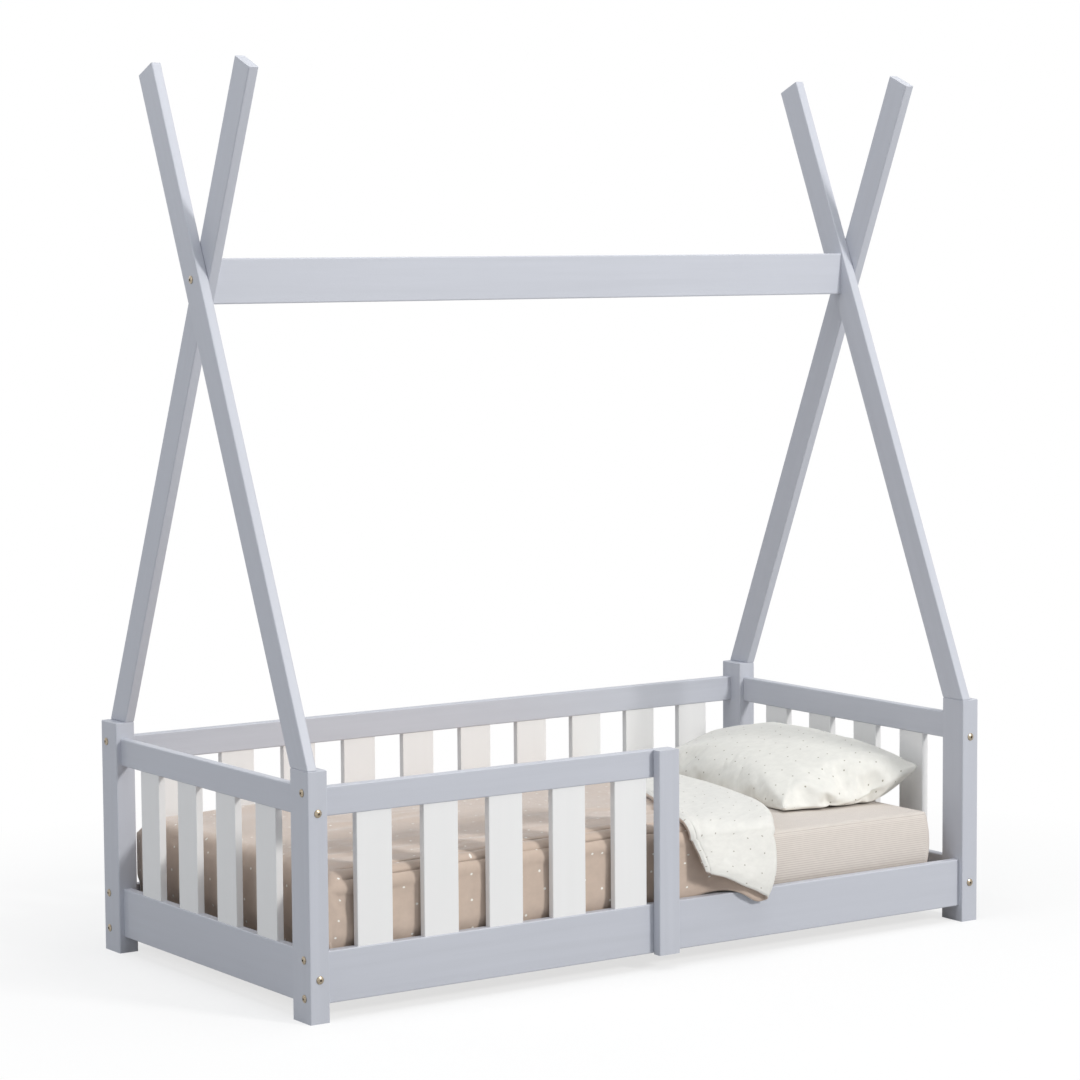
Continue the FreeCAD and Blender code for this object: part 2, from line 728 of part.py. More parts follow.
base_slat = bar("base_slat", ("base_slat_wide", "2 * base_half", "base_slat_thick"), "y",
                "min(edge_round; base_slat_thick / 4)")
base_holes = [("base_slat_wide / 2", f"base_half {sign} ledge_middle") for sign in "-+"]
drill(base_slat, "z", base_holes, "screw_hole_radius", "-1 * overrun",
      "base_slat_thick + 2 * overrun")
drill(base_slat, "z", base_holes, "screw_head_radius + fit_gap",
      "base_slat_thick - screw_head_high", "screw_head_high + overrun")
BASE_PLACES = [f"{number} * base_pitch - ledge_half"
               for number in range(int(value("base_slat_count")))]
group("base_slats", base_slat,
      [(place, "-1 * base_half", "base_low", UNIT["z"]) for place in BASE_PLACES])

# Bolts with button heads, under the head at 0 and running along +Z


def bolt(name, grip):
    """A bolt through a thickness of timber and a rail's barrel nut."""
    length = f"{grip} + bolt_in_rail"
    shaft = cylinder(name + "_shaft", "bolt_radius", length)
    blank = cylinder(name + "_blank", "bolt_head_radius", "bolt_head_high",
                     "-1 * bolt_head_high")
    dome = doc.addObject("Part::Sphere", name + "_dome")
    rise = "(bolt_head_high - bolt_rim)"
    radius = f"(bolt_head_radius * bolt_head_radius + {rise} * {rise}) / (2 * {rise})"
    bind(dome, "Radius", radius)
    bind(dome, ".Placement.Base.z", f"{radius} - bolt_head_high")
    head = combined("Common", name + "_head", blank, dome)
    whole = combined("Fuse", name + "_whole", shaft, head)
    socket = doc.addObject("Part::Prism", name + "_socket")
    socket.Polygon = 6
    bind(socket, "Circumradius", "socket_radius")
    bind(socket, "Height", "socket_deep + overrun")
    bind(socket, ".Placement.Base.z", "-1 * (bolt_head_high + overrun)")
    return combined("Cut", name, whole, socket)


WAY = {
    "foot": UNIT["x"],
    "head": -UNIT["x"],
    "front": UNIT["y"],
    "back": -UNIT["y"],
    "up": UNIT["z"],
    "down": -UNIT["z"],
}
SIGN = {"foot": -1, "head": 1, "front": -1, "back": 1}
CORNERS = [(end, side) for end in ("foot", "head") for side in ("front", "back")]


def rail_ends(bottom_heights, top_heights):
    """Each end of the long rails with a height there. The guard has only its foot end."""
    found = []
    for end, side in CORNERS:
        has_top = not (end == "head" and side == "front")
        heights = bottom_heights + (top_heights if has_top else [])
        found += [(end, side, height) for height in heights]
    return found


long_bolts = rail_ends(["low_bolt", "high_bolt"], ["long_top_bolt"])
long_dowels = rail_ends(["rail_middle"], ["long_top_dowel"])
end_bolts = [(end, side, height) for end, side in CORNERS
             for height in ("rail_middle", "end_top_bolt")]
end_dowels = [(end, side, height) for end, side in CORNERS
              for height in ("low_bolt", "high_bolt", "end_top_dowel")]

group("long_rail_bolts", bolt("long_bolt", "post_thick"), [
    (signed(SIGN[end], "half_length"), signed(SIGN[side], "rail_centre"), height, WAY[end])
    for end, side, height in long_bolts
])
group("end_rail_bolts", bolt("end_bolt", "post_wide"), [
    (signed(SIGN[end], "end_rail_centre"), signed(SIGN[side], "half_width"), height,
     WAY[side])
    for end, side, height in end_bolts
])
group("ridge_bolts", bolt("pole_bolt", "2 * pole_thick"), [
    (signed(SIGN[end], "bay_end + 2 * pole_thick"), 0, "crossing_height", WAY[end])
    for end in ("foot", "head")
])

# Barrel nuts: short rods across the rail, with a hole that the bolt goes through

nut_rod = cylinder("nut_rod", "nut_radius", "nut_long", "-1 * nut_long / 2")


def barrel_nut(name, way):
    """A nut whose hole runs along the way."""
    hole = cylinder(name + "_hole", "hole_radius", "2 * (nut_radius + overrun)")
    hole.Placement = Placement(Vector(), Rotation(Vector(0, 0, 1), way))
    back_off = "-1 * (nut_radius + overrun)"
    bind(hole, ".Placement.Base.x", f"{way.x} * ({back_off})")
    bind(hole, ".Placement.Base.y", f"{way.y} * ({back_off})")
    bind(hole, ".Placement.Base.z", "0")
    return combined("Cut", name, nut_rod, hole)


rail_nut = barrel_nut("rail_nut", UNIT["x"])
nut_places = [
    (signed(SIGN[end], "bay_end - nut_setback"), signed(SIGN[side], "rail_centre"), height,
     UNIT["y"])
    for end, side, height in long_bolts
]
group("long_rail_nuts", rail_nut, nut_places)
end_nut = barrel_nut("end_nut", UNIT["y"])
group("end_rail_nuts", end_nut, [
    (signed(SIGN[end], "end_rail_centre"), signed(SIGN[side], "end_span / 2 - nut_setback"),
     height, UNIT["x"])
    for end, side, height in end_bolts
])
group("ridge_nuts", rail_nut, [
    (signed(SIGN[end], "bay_end - nut_setback"), 0, "crossing_height", UNIT["y"])
    for end in ("foot", "head")
])

# Dowels

rail_dowel = cylinder("rail_dowel", "dowel_radius", "dowel_in_post + dowel_in_rail")
dowel_places = [
    (signed(SIGN[end], "bay_end + dowel_in_post"), signed(SIGN[side], "rail_centre"), height,
     WAY[end])
    for end, side, height in long_dowels
]
dowel_places += [
    (signed(SIGN[end], "end_rail_centre"), signed(SIGN[side], "end_span / 2 + dowel_in_post"),
     height, WAY[side])
    for end, side, height in end_dowels
]
dowel_places += [
    (signed(SIGN[end], "bay_end + dowel_in_post"), 0, "ridge_dowel", WAY[end])
    for end in ("foot", "head")
]
group("rail_dowels", rail_dowel, dowel_places)

pole_dowel = cylinder("pole_dowel", "dowel_radius", "2 * pole_dowel_half")
pole_side = {"front": "-1 * (post_thick - pole_thick) / 2",
             "back": "(post_thick - pole_thick) / 2"}
group("pole_dowels", pole_dowel, [
    (f"{signed(SIGN[end], 'end_rail_centre')} + {pole_side[side]}",
     f"{signed(SIGN[side], 'half_width - post_wide / 2')} {sign} pole_dowel_spread / 2",
     "post_height - pole_dowel_half", WAY["up"])
    for end, side in CORNERS for sign in "-+"
])

# Countersunk screws, the top of the head at 0 and running along +Z


def screw(name, length):
    """A screw with a flat head."""
    head = cylinder(name + "_head", "screw_head_radius", "screw_head_high")
    shank = cylinder(name + "_shank", "screw_radius", f"{length} - 2 * screw_radius")
    point = doc.addObject("Part::Cone", name + "_point")
    bind(point, "Radius1", "screw_radius")
    bind(point, "Radius2", 0)
    bind(point, "Height", "2 * screw_radius")
    bind(point, ".Placement.Base.z", f"{length} - 2 * screw_radius")
    stem = combined("Fuse", name + "_stem", shank, point)
    return combined("Fuse", name, stem, head)


long_screw = screw("long_screw", "screw_long")
group("mid_post_screws", long_screw, [
    (place, "-1 * rail_in", height, WAY["back"])
    for place in MID_SCREWS
    for height in ("rail_middle", "top_rail_low + top_rail_high / 2")
])
LEDGE_SCREWS = [f"{number} * ledge_screw_pitch + screw_inset - ledge_half"
                for number in range(int(value("ledge_screw_count")))]
group("ledge_screws", long_screw, [
    (place, signed(SIGN[side], "rail_in - ledge_deep"), "ledge_low + ledge_high / 2",
     -WAY[side])
    for side in ("front", "back") for place in LEDGE_SCREWS
])
short_screw = screw("short_screw", "slat_screw_long")
group("base_slat_screws", short_screw, [
    (f"{place} + base_slat_wide / 2", signed(SIGN[side], "ledge_middle"), "base_top",
     WAY["down"])
    for side in ("front", "back") for place in BASE_PLACES
])

# Soft pieces. Their outlines are closed wires of lines and shallow arcs.


def soft_node(name, shape):
    """A sub-part whose shape is made from the sheet's values."""
    thing = doc.addObject("Part::Feature", name)
    thing.Label = name
    thing.Shape = shape
    thing.Placement = Placement(Vector(0, value("shift"), 0), Rotation())
    nodes.append(thing)
    return thing


def outline(steps):
    """A closed wire. Each step is an end point, or a pair: a point passed on an arc, then its end."""
    edges = []
    start = steps[-1][-1] if isinstance(steps[-1], tuple) else steps[-1]
    for step in steps:
        if isinstance(step, tuple):
            edges.append(Part.Arc(start, step[0], step[1]).toShape())
            start = step[1]
        else:
            edges.append(Part.LineSegment(start, step).toShape())
            start = step
    return Part.Wire(edges)


def prism(wire, way):
    return Part.Face(wire).extrude(way)


CORNER_SHARE = 0.293
overrun = value("overrun")


def block_profile(half_low, half_high, low, high, bulge, crown, edge, point):
    """An upright section of a soft block: bulging sides, crowned top and rounded edges.

    point turns a place across and a height into a point of the section's plane."""
    cut = edge * CORNER_SHARE
    mid = (low + high) / 2
    left, right = -half_low, half_high
    middle = (left + right) / 2
    return outline([
        point(right - bulge - edge, low),
        (point(right - bulge - cut, low + cut), point(right - bulge, low + edge)),
        (point(right, mid), point(right - bulge, high - edge)),
        (point(right - bulge - cut, high - cut), point(right - bulge - edge, high)),
        (point(middle, high + crown), point(left + bulge + edge, high)),
        (point(left + bulge + cut, high - cut), point(left + bulge, high - edge)),
        (point(left, mid), point(left + bulge, low + edge)),
        (point(left + bulge + cut, low + cut), point(left + bulge + edge, low)),
    ])


def rounded_plan(left, right, side, corner, height):
    """A level rectangle with rounded corners, centred on the bed's width."""
    cut = corner * CORNER_SHARE
    return outline([
        Vector(right - corner, -side, height),
        (Vector(right - cut, cut - side, height), Vector(right, corner - side, height)),
        Vector(right, side - corner, height),
        (Vector(right - cut, side - cut, height), Vector(right - corner, side, height)),
        Vector(left + corner, side, height),
        (Vector(left + cut, side - cut, height), Vector(left, side - corner, height)),
        Vector(left, corner - side, height),
        (Vector(left + cut, cut - side, height), Vector(left + corner, -side, height)),
    ])


def mattress_block(inset, low, edge):
    """The mattress with its sheet, made smaller by inset all round, and reaching down to low."""
    foot = value("mattress_foot") - inset
    head = value("mattress_head") - inset
    side = value("mattress_side") - inset
    top = value("mattress_top") - inset
    bulge = value("mattress_bulge")
    crown = value("mattress_crown")
    corner = value("mattress_corner") - inset
    across = block_profile(side, side, low, top, bulge, crown, edge,
                           lambda u, v: Vector(-foot - overrun, u, v))
    along = block_profile(foot, head, low, top, bulge, 2 * crown, edge,
                          lambda u, v: Vector(u, -side - overrun, v))
    whole = prism(across, Vector(foot + head + 2 * overrun, 0, 0))
    whole = whole.common(prism(along, Vector(0, 2 * (side + overrun), 0)))
    plan = rounded_plan(-foot - overrun, head + overrun, side + overrun, corner, low - overrun)
    return whole.common(prism(plan, Vector(0, 0, top + 2 * (crown + overrun) - low)))


MATTRESS_EDGE = value("mattress_edge")
sheet_thick = value("sheet_thick")
mattress_low = value("mattress_low")
core = mattress_block(sheet_thick, mattress_low + sheet_thick, MATTRESS_EDGE - sheet_thick)
skin = mattress_block(0, mattress_low, MATTRESS_EDGE)
tuck = value("sheet_tuck")
window = Part.makeBox(
    value("mattress_foot + mattress_head") - 2 * tuck,
    2 * (value("mattress_side") - tuck),
    2 * sheet_thick,
    Vector(tuck - value("mattress_foot"), tuck - value("mattress_side"),
           mattress_low - sheet_thick / 2),
)
soft_node("mattress_core", core)
soft_node("fitted_sheet", skin.cut(core).cut(window))

# Duvet: over the mattress, down between it and the rails, and turned back near the pillow

duvet_side = value("duvet_side")
duvet_foot = value("duvet_foot")
duvet_top = value("duvet_top")
duvet_low = value("duvet_low")
duvet_edge = value("duvet_edge")
fall = value("duvet_edge_fall")
rail_in = value("rail_in")
rail_out = value("rail_out")
soft_gap = value("soft_gap")
turn_front = value("turn_front")
turn_back = value("turn_back")
turn_top = value("turn_top")
nose = value("turn_nose")


def draped_profile(left, right, top, point):
    """A section of the duvet's outside: crowned top, rounded shoulders, straight hanging sides."""
    cut = duvet_edge * CORNER_SHARE
    shoulder = duvet_top - fall
    middle = (left + right) / 2
    return outline([
        point(right, duvet_low),
        point(right, shoulder - duvet_edge),
        (point(right - cut, shoulder - cut), point(right - duvet_edge, shoulder)),
        (point(middle, top), point(left + duvet_edge, shoulder)),
        (point(left + cut, shoulder - cut), point(left, shoulder - duvet_edge)),
        point(left, duvet_low),
    ])


def duvet_cover():
    """The part that covers the mattress, up to the slanting end under the turned-back part."""
    far = value("mattress_head")
    across = draped_profile(-duvet_side, duvet_side, duvet_top,
                            lambda u, v: Vector(-duvet_foot - overrun, u, v))
    along = draped_profile(-duvet_foot, far + duvet_foot, duvet_top + fall,
                           lambda u, v: Vector(u, -duvet_side - overrun, v))
    side = duvet_side + overrun
    plan = rounded_plan(-duvet_foot - overrun, far, side, value("mattress_corner"),
                        duvet_low - overrun)
    front_end = turn_front - value("turn_front_wide") / 2
    back_end = turn_back - value("turn_back_wide") / 2
    covered = outline([
        Vector(front_end, -2 * side, 0),
        Vector(back_end, 2 * side, 0),
        Vector(-2 * duvet_foot, 2 * side, 0),
        Vector(-2 * duvet_foot, -2 * side, 0),
    ])
    whole = prism(across, Vector(far + duvet_foot + 2 * overrun, 0, 0))
    whole = whole.common(prism(along, Vector(0, 2 * side, 0)))
    whole = whole.common(prism(plan, Vector(0, 0, 2 * duvet_top)))
    return whole.common(prism(covered, Vector(0, 0, 2 * duvet_top)))


def turned_section(y_place, hem, fold, low, high):
    """A section along the bed of the turned-back part, with the round nose of its fold."""
    return outline([
        Vector(hem, y_place, high),
        Vector(fold - nose, y_place, high),
        (Vector(fold, y_place, (low + high) / 2), Vector(fold - nose, y_place, low)),
        Vector(hem, y_place, low),
    ])


def turned_back():
    """The duvet's end folded over on itself."""
    low = value("mattress_top")
    side = duvet_side - duvet_edge / 2
    slope = value("turn_skew") / (2 * duvet_side)
    hem_front = turn_front - value("turn_front_wide")
    hem_back = turn_back - value("turn_back_wide")
    inner = side - duvet_edge
    hem_slope = (hem_back - hem_front) / (2 * duvet_side)
    sections = []
    for place, drop in ((-side, 0), (inner, 0), (duvet_side - soft_gap, duvet_edge)):
        fold = turn_front + slope * (place + duvet_side)
        hem = hem_front + hem_slope * (place + duvet_side)
        sections.append(turned_section(place, hem, fold, low, turn_top - drop))
    return Part.makeLoft(sections, True, True)


FLAP_SHARES = {
    "hem_top": (0.03, 1.0),
    "hem_corner": (0.11, 0.50),
    "hem_low": (0.56, 0.19),
    "tip_left": (0.62, 0.0),
    "tip_right": (0.74, 0.0),
    "fold_low": (0.92, 0.29),
    "fold_bow": (1.01, 0.60),
    "fold_high": (1.0, 0.86),
    "fold_top": (0.99, 1.0),
}


def hanging_corner():
    """The corner of the turned-back part, which hangs over the front rail."""
    thick = value("flap_thick")
    low = value("bottom_rail_top - flap_drop")
    over_rail = value("bottom_rail_top") + soft_gap
    inside = rail_out + value("flap_out")
    outside = inside + thick
    shoulder = duvet_side - duvet_edge
    left = turn_front - value("turn_front_wide")
    wide = value("turn_front_wide")
    high = turn_top - low
    section = outline([
        Vector(left, -shoulder, turn_top),
        (Vector(left, -duvet_side + thick / 2, turn_top - thick / 2),
         Vector(left, -rail_out, turn_top - duvet_edge)),
        Vector(left, -outside, over_rail + duvet_edge),
        Vector(left, -outside, low),
        Vector(left, -inside, low),
        Vector(left, -inside, over_rail),
        Vector(left, -rail_in + duvet_edge, over_rail),
    ])
    at = {name: Vector(left + wide * share[0], -outside, low + high * share[1])
          for name, share in FLAP_SHARES.items()}
    face = outline([
        at["hem_corner"],
        at["hem_low"],
        at["tip_left"],
        at["tip_right"],
        at["fold_low"],
        (at["fold_bow"], at["fold_high"]),
        at["fold_top"],
        at["hem_top"],
    ])
    band = prism(section, Vector(wide + nose, 0, 0))
    return band.common(prism(face, Vector(0, outside, 0)))


room = mattress_block(-soft_gap, mattress_low - soft_gap, MATTRESS_EDGE + soft_gap)


def skirt_room():
    """Straight-sided room below the mattress's widest level, so that the duvet lifts off it."""
    foot = value("mattress_foot") + soft_gap
    head = value("mattress_head") + soft_gap
    side = value("mattress_side") + soft_gap
    low = duvet_low - overrun
    high = value("(mattress_low + mattress_top) / 2") - low
    box = Part.makeBox(foot + head, 2 * side, high, Vector(-foot, -side, low))
    corner = value("mattress_corner") + soft_gap
    plan = rounded_plan(-foot - overrun, head + overrun, side + overrun, corner, low - overrun)
    return box.common(prism(plan, Vector(0, 0, high + 2 * overrun)))


duvet = duvet_cover().fuse(turned_back()).fuse(hanging_corner())
duvet = duvet.cut(room).cut(skirt_room()).removeSplitter()
soft_node("duvet", duvet)

# Pillow: a lens in every section, cut off where it lies on the mattress

PILLOW_SECTIONS = 17


def pillow_section(number):
    """A lens across the pillow: a high arc over the seam and a low arc under it."""
    station = -math.cos(math.pi * number / (PILLOW_SECTIONS - 1))
    fullness = (1 - station ** 4) ** value("pillow_full_power")
    ear = value("pillow_ear")
    seam = value("pillow_low + pillow_seam")
    above = ear + (value("pillow_high - pillow_seam") - ear) * fullness
    below = ear + value("pillow_seam") * fullness
    drawn_in = value("pillow_draw_share") * (1 - station ** 2)
    half = value("pillow_wide") / 2 * (1 - drawn_in)
    middle = value("pillow_head - pillow_wide / 2")
    y_place = value("pillow_middle") + value("pillow_long") / 2 * station
    return outline([
        (Vector(middle, y_place, seam + above), Vector(middle + half, y_place, seam)),
        (Vector(middle, y_place, seam - below), Vector(middle - half, y_place, seam)),
    ])


sections = [pillow_section(number) for number in range(PILLOW_SECTIONS)]
pillow_long = value("pillow_long")
below_pillow = Part.makeBox(
    2 * pillow_long, 2 * pillow_long, pillow_long,
    Vector(value("pillow_head") - 1.5 * pillow_long, -pillow_long,
           value("pillow_low") - pillow_long),
)
soft_node("pillow", Part.makeLoft(sections, True, True).cut(below_pillow).cut(room))

# Check every object, then write one file for each sub-part

doc.recompute()
for thing in doc.Objects:
    if "Invalid" in thing.State or "Error" in thing.State:
        raise RuntimeError(f"{thing.Label} failed: {thing.State}")
os.makedirs("parts", exist_ok=True)
for thing in nodes:
    shape = thing.Shape
    if shape.isNull() or not shape.isValid() or not shape.Solids:
        raise RuntimeError(f"{thing.Label} has no valid solid")
for thing in nodes:
    thing.Shape.exportStep(f"parts/{thing.Label}.step")
print(len(nodes), "nodes,", sum(len(thing.Shape.Solids) for thing in nodes), "solids")
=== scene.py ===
import math

import bmesh
import bpy
import numpy as np
from mathutils import Matrix, Vector
from numpy.linalg import norm


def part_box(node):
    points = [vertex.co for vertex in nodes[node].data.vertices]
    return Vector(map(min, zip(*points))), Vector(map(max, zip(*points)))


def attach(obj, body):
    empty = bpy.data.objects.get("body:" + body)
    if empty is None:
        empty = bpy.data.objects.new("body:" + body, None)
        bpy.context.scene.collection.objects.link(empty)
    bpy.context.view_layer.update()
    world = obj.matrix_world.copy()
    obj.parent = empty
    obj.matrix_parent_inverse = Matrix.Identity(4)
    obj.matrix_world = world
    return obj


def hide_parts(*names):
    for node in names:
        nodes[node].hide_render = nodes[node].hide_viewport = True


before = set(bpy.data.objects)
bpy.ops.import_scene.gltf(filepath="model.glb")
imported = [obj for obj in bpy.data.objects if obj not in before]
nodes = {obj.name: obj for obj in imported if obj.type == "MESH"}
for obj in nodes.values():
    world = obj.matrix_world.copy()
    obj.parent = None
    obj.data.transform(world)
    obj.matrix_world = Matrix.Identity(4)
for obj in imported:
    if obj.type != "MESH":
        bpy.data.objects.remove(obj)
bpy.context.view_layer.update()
scene = bpy.context.scene

# Lengths below are in millimetres, from the bed's own middle line. The model's origin lies a
# little beside that line, so this is added to every place across the bed.
low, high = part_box("mattress_core")
SHIFT = 1000 * (low.y + high.y) / 2


def place(points):
    """Millimetres from the bed's middle line, turned into metres in the model's frame."""
    points = np.array(points, float)
    points[..., 1] += SHIFT
    return points / 1000


# Noise and curves


# noise runs between the points of a square lattice, and repeats after that many
LATTICE = 64
LATTICE_START = 20.0


def noise(x, y, size, seed):
    """Smooth noise between -1 and 1 over a plane, with features of that size."""
    grid = np.random.default_rng(seed).uniform(-1, 1, (LATTICE, LATTICE))
    u = np.asarray(x, float) / size + LATTICE_START
    v = np.asarray(y, float) / size + LATTICE_START
    i, j = np.floor(u).astype(int), np.floor(v).astype(int)
    a, b = u - i, v - j
    a, b = a * a * (3 - 2 * a), b * b * (3 - 2 * b)

    def at(di, dj):
        return grid[(i + di) % LATTICE, (j + dj) % LATTICE]

    low_side = at(0, 0) * (1 - a) + at(1, 0) * a
    high_side = at(0, 1) * (1 - a) + at(1, 1) * a
    return low_side * (1 - b) + high_side * b


def waves(*parts):
    """Noises added up, each given by its height, both its coordinates, its size and its seed."""
    return sum(height * noise(x, y, size, seed) for height, x, y, size, seed in parts)


def curve(x, knots):
    """A smooth line through the knots, which are pairs in rising order."""
    xs, ys = np.array(knots, float).T
    slopes = np.gradient(ys, xs)
    x = np.clip(x, xs[0], xs[-1])
    k = np.clip(np.searchsorted(xs, x) - 1, 0, len(xs) - 2)
    step = xs[k + 1] - xs[k]
    t = (x - xs[k]) / step
    return (
        ys[k] * (1 + 2 * t) * (1 - t) ** 2
        + slopes[k] * step * t * (1 - t) ** 2
        + ys[k + 1] * t * t * (3 - 2 * t)
        + slopes[k + 1] * step * t * t * (t - 1)
    )


def smooth(x, start, end):
    """A soft step from 0 at the start to 1 at the end, which may be the smaller of the two."""
    t = np.clip((np.asarray(x, float) - start) / (end - start), 0, 1)
    return t * t * (3 - 2 * t)


# Materials


def linear(colour):
    """A display colour, 0 to 255, as linear light."""
    parts = [c / 255 for c in colour]
    return [c / 12.92 if c <= 0.04045 else ((c + 0.055) / 1.055) ** 2.4 for c in parts] + [1]


def new_material(name):
    """A new material, its node tree and its main shader."""
    material = bpy.data.materials.new(name)
    material.use_nodes = True
    tree = material.node_tree
    return material, tree, tree.nodes["Principled BSDF"]


def plug(node, inputs):
    """Sets the node's inputs. A node as a value stands for its first output."""
    for key, value in inputs.items():
        if isinstance(value, bpy.types.Node):
            value = value.outputs[0]
        if isinstance(value, bpy.types.NodeSocket):
            node.id_data.links.new(value, node.inputs[key])
        else:
            node.inputs[key].default_value = value


def add(tree, kind, settings=None, first=(), **inputs):
    """A new shader node, with its first inputs in order and others by name."""
    made = tree.nodes.new("ShaderNode" + kind)
    for key, value in (settings or {}).items():
        setattr(made, key, value)
    plug(made, dict(enumerate(first)))
    plug(made, inputs)
    return made


# the numbers of a colour mix's sockets: its factor, both colours and its result
MIX_FACTOR, MIX_FIRST, MIX_SECOND, MIX_RESULT = 0, 6, 7, 2


def blend(tree, factor, first, second):
    """A mix of two colours."""
    made = add(tree, "Mix", {"data_type": "RGBA"})
    plug(made, {MIX_FACTOR: factor, MIX_FIRST: first, MIX_SECOND: second})
    return made.outputs[MIX_RESULT]


def remap(tree, value, from_low, from_high, to_low=0.0, to_high=1.0):
    """A value carried from one range to another."""
    return add(tree, "MapRange", None, (value, from_low, from_high, to_low, to_high))


def bump(tree, shader, height, strength, distance):
    """Roughens the shader's surface by a height, over that distance in metres."""
    made = add(tree, "Bump", Strength=strength, Distance=distance, Height=height)
    plug(shader, {"Normal": made})


# how often the grain changes in a metre, along the timber and across it
GRAIN_ALONG, GRAIN_ACROSS = 2.5, 70.0
STREAKS_ALONG, STREAKS_ACROSS = 1.6, 26.0


def grain_coordinates(tree, axis, lean=0.0, along=GRAIN_ALONG, across=GRAIN_ACROSS):
    """Coordinates stretched along the timber. lean turns them about X, for a slanting pole."""
    where = add(tree, "TexCoord")
    turned = add(tree, "Mapping", Vector=where.outputs["Object"], Rotation=(lean, 0, 0))
    scale = [across] * 3
    scale["xyz".index(axis)] = along
    return add(tree, "Mapping", Vector=turned, Scale=tuple(scale))


def paint(name, colour, axis, lean=0.0, depth=0.022):
    """Satin paint over softwood, with the grain just showing through."""
    material, tree, shader = new_material(name)
    coordinates = grain_coordinates(tree, axis, lean)
    grain = add(tree, "TexNoise", Vector=coordinates, Scale=1.0, Detail=7.0, Roughness=0.62)
    where = add(tree, "TexCoord").outputs["Object"]
    cloud = add(tree, "TexNoise", Vector=where, Scale=3.0, Detail=3.0)
    base = linear(colour)
    darker = [c * (1 - 1.6 * depth) for c in base[:3]] + [1]
    lighter = [min(1, c * (1 + depth)) for c in base[:3]] + [1]
    grained = blend(tree, remap(tree, grain, 0.3, 0.7), darker, lighter)
    clouded = [c * 0.965 for c in base[:3]] + [1]
    share = remap(tree, cloud, 0.35, 0.7, 0.0, 0.35)
    plug(shader, {
        "Base Color": blend(tree, share, grained, clouded),
        "Roughness": remap(tree, grain, 0.3, 0.7, 0.40, 0.50),
        "Specular IOR Level": 0.42, "Coat Weight": 0.10, "Coat Roughness": 0.32,
    })
    bump(tree, shader, grain, 0.12, 0.0005)
    return material


def bare_wood(name, light, dark, axis):
    """Planed softwood, with streaks of late wood."""
    material, tree, shader = new_material(name)
    coordinates = grain_coordinates(tree, axis, 0.0, STREAKS_ALONG, STREAKS_ACROSS)
    warp = add(tree, "TexNoise", Vector=coordinates, Scale=0.8, Detail=3.0)
    rings = add(tree, "TexWave", {"bands_direction": "DIAGONAL"}, Vector=coordinates,
                Scale=0.55, Distortion=5.0, Detail=3.0)
    fine = add(tree, "TexNoise", Vector=coordinates, Scale=6.0, Detail=6.0)
    share = remap(tree, rings.outputs[1], 0.25, 0.95, 0.0, 0.75)
    streaked = blend(tree, share, linear(light), linear(dark))
    tinted = blend(tree, remap(tree, warp, 0.3, 0.7, 0.0, 0.3), streaked, linear(dark))
    plug(shader, {"Base Color": tinted, "Roughness": 0.62})
    bump(tree, shader, fine, 0.2, 0.0004)
    return material


# the zinc, its tarnish, and the dark colour of the shade painted into its hollows
ZINC, ZINC_TARNISH, HOLLOW_SHADE = (182, 170, 150), (132, 120, 103), (52, 46, 40)


def zinc(name):
    """Yellow zinc plate with fine tarnish, and shade painted into its socket and under its head.
    """
    material, tree, shader = new_material(name)
    where = add(tree, "TexCoord").outputs["Object"]
    blotch = add(tree, "TexNoise", Vector=where, Scale=420.0, Detail=4.0)
    share = remap(tree, blotch, 0.35, 0.7)
    coloured = blend(tree, share, linear(ZINC), linear(ZINC_TARNISH))
    # shade painted into the socket and under the head, darker where the surface is hemmed in
    cavity = add(tree, "AmbientOcclusion", {"samples": 8}, Distance=0.003)
    painted_shade = remap(tree, cavity.outputs["AO"], 0.35, 0.85)
    shaded = blend(tree, painted_shade, linear(HOLLOW_SHADE), coloured)
    rough = remap(tree, blotch, 0.3, 0.7, 0.26, 0.46)
    plug(shader, {"Base Color": shaded, "Metallic": 1.0, "Roughness": rough})
    bump(tree, shader, blotch, 0.1, 0.0002)
    return material


# a wave texture's period in metres at scale 1, the threads' and the stripes'
WAVE_PERIOD = 0.3142
THREAD = 0.0009
STRIPE_PITCH = 0.0042


def weave(tree, uv):
    """The height of a plain weave, from cloth coordinates in metres."""
    size = WAVE_PERIOD / THREAD
    threads = [add(tree, "TexWave", {"bands_direction": way}, Vector=uv, Scale=size).outputs[1]
               for way in "XY"]
    return add(tree, "Math", {"operation": "ADD"}, threads)


def cloth(name, colour, dots=None, dot_spacing=50.0, dot_radius=2.2, stripes=None, sheen=0.2):
    """Woven cotton. dots and stripes are the colours of a printed pattern, in millimetres."""
    material, tree, shader = new_material(name)
    uv = add(tree, "UVMap", {"uv_map": "UVMap"})
    height = weave(tree, uv)
    mottle = add(tree, "TexNoise", Vector=uv, Scale=60.0, Detail=5.0, Roughness=0.6)
    base = linear(colour)
    darker = [c * 0.93 for c in base[:3]] + [1]
    share = remap(tree, mottle, 0.35, 0.7)
    result = blend(tree, share, base, darker)
    if dots:
        cells = add(tree, "TexVoronoi", {"voronoi_dimensions": "2D"}, Vector=uv,
                    Scale=1000 / dot_spacing, Randomness=0.62)
        edge = dot_radius / dot_spacing
        mask = remap(tree, cells.outputs["Distance"], edge * 1.15, edge * 0.85)
        result = blend(tree, mask, result, linear(dots))
    if stripes:
        lines = add(tree, "TexWave", {"bands_direction": "Y"}, Vector=uv,
                    Scale=WAVE_PERIOD / STRIPE_PITCH)
        mask = remap(tree, lines.outputs[1], 0.55, 0.8)
        result = blend(tree, mask, result, linear(stripes))
    plug(shader, {"Base Color": result, "Roughness": 0.86, "Specular IOR Level": 0.25,
                  "Sheen Weight": sheen, "Sheen Roughness": 0.4})
    bump(tree, shader, height, 0.16, 0.0003)
    return material


# Paints and woods

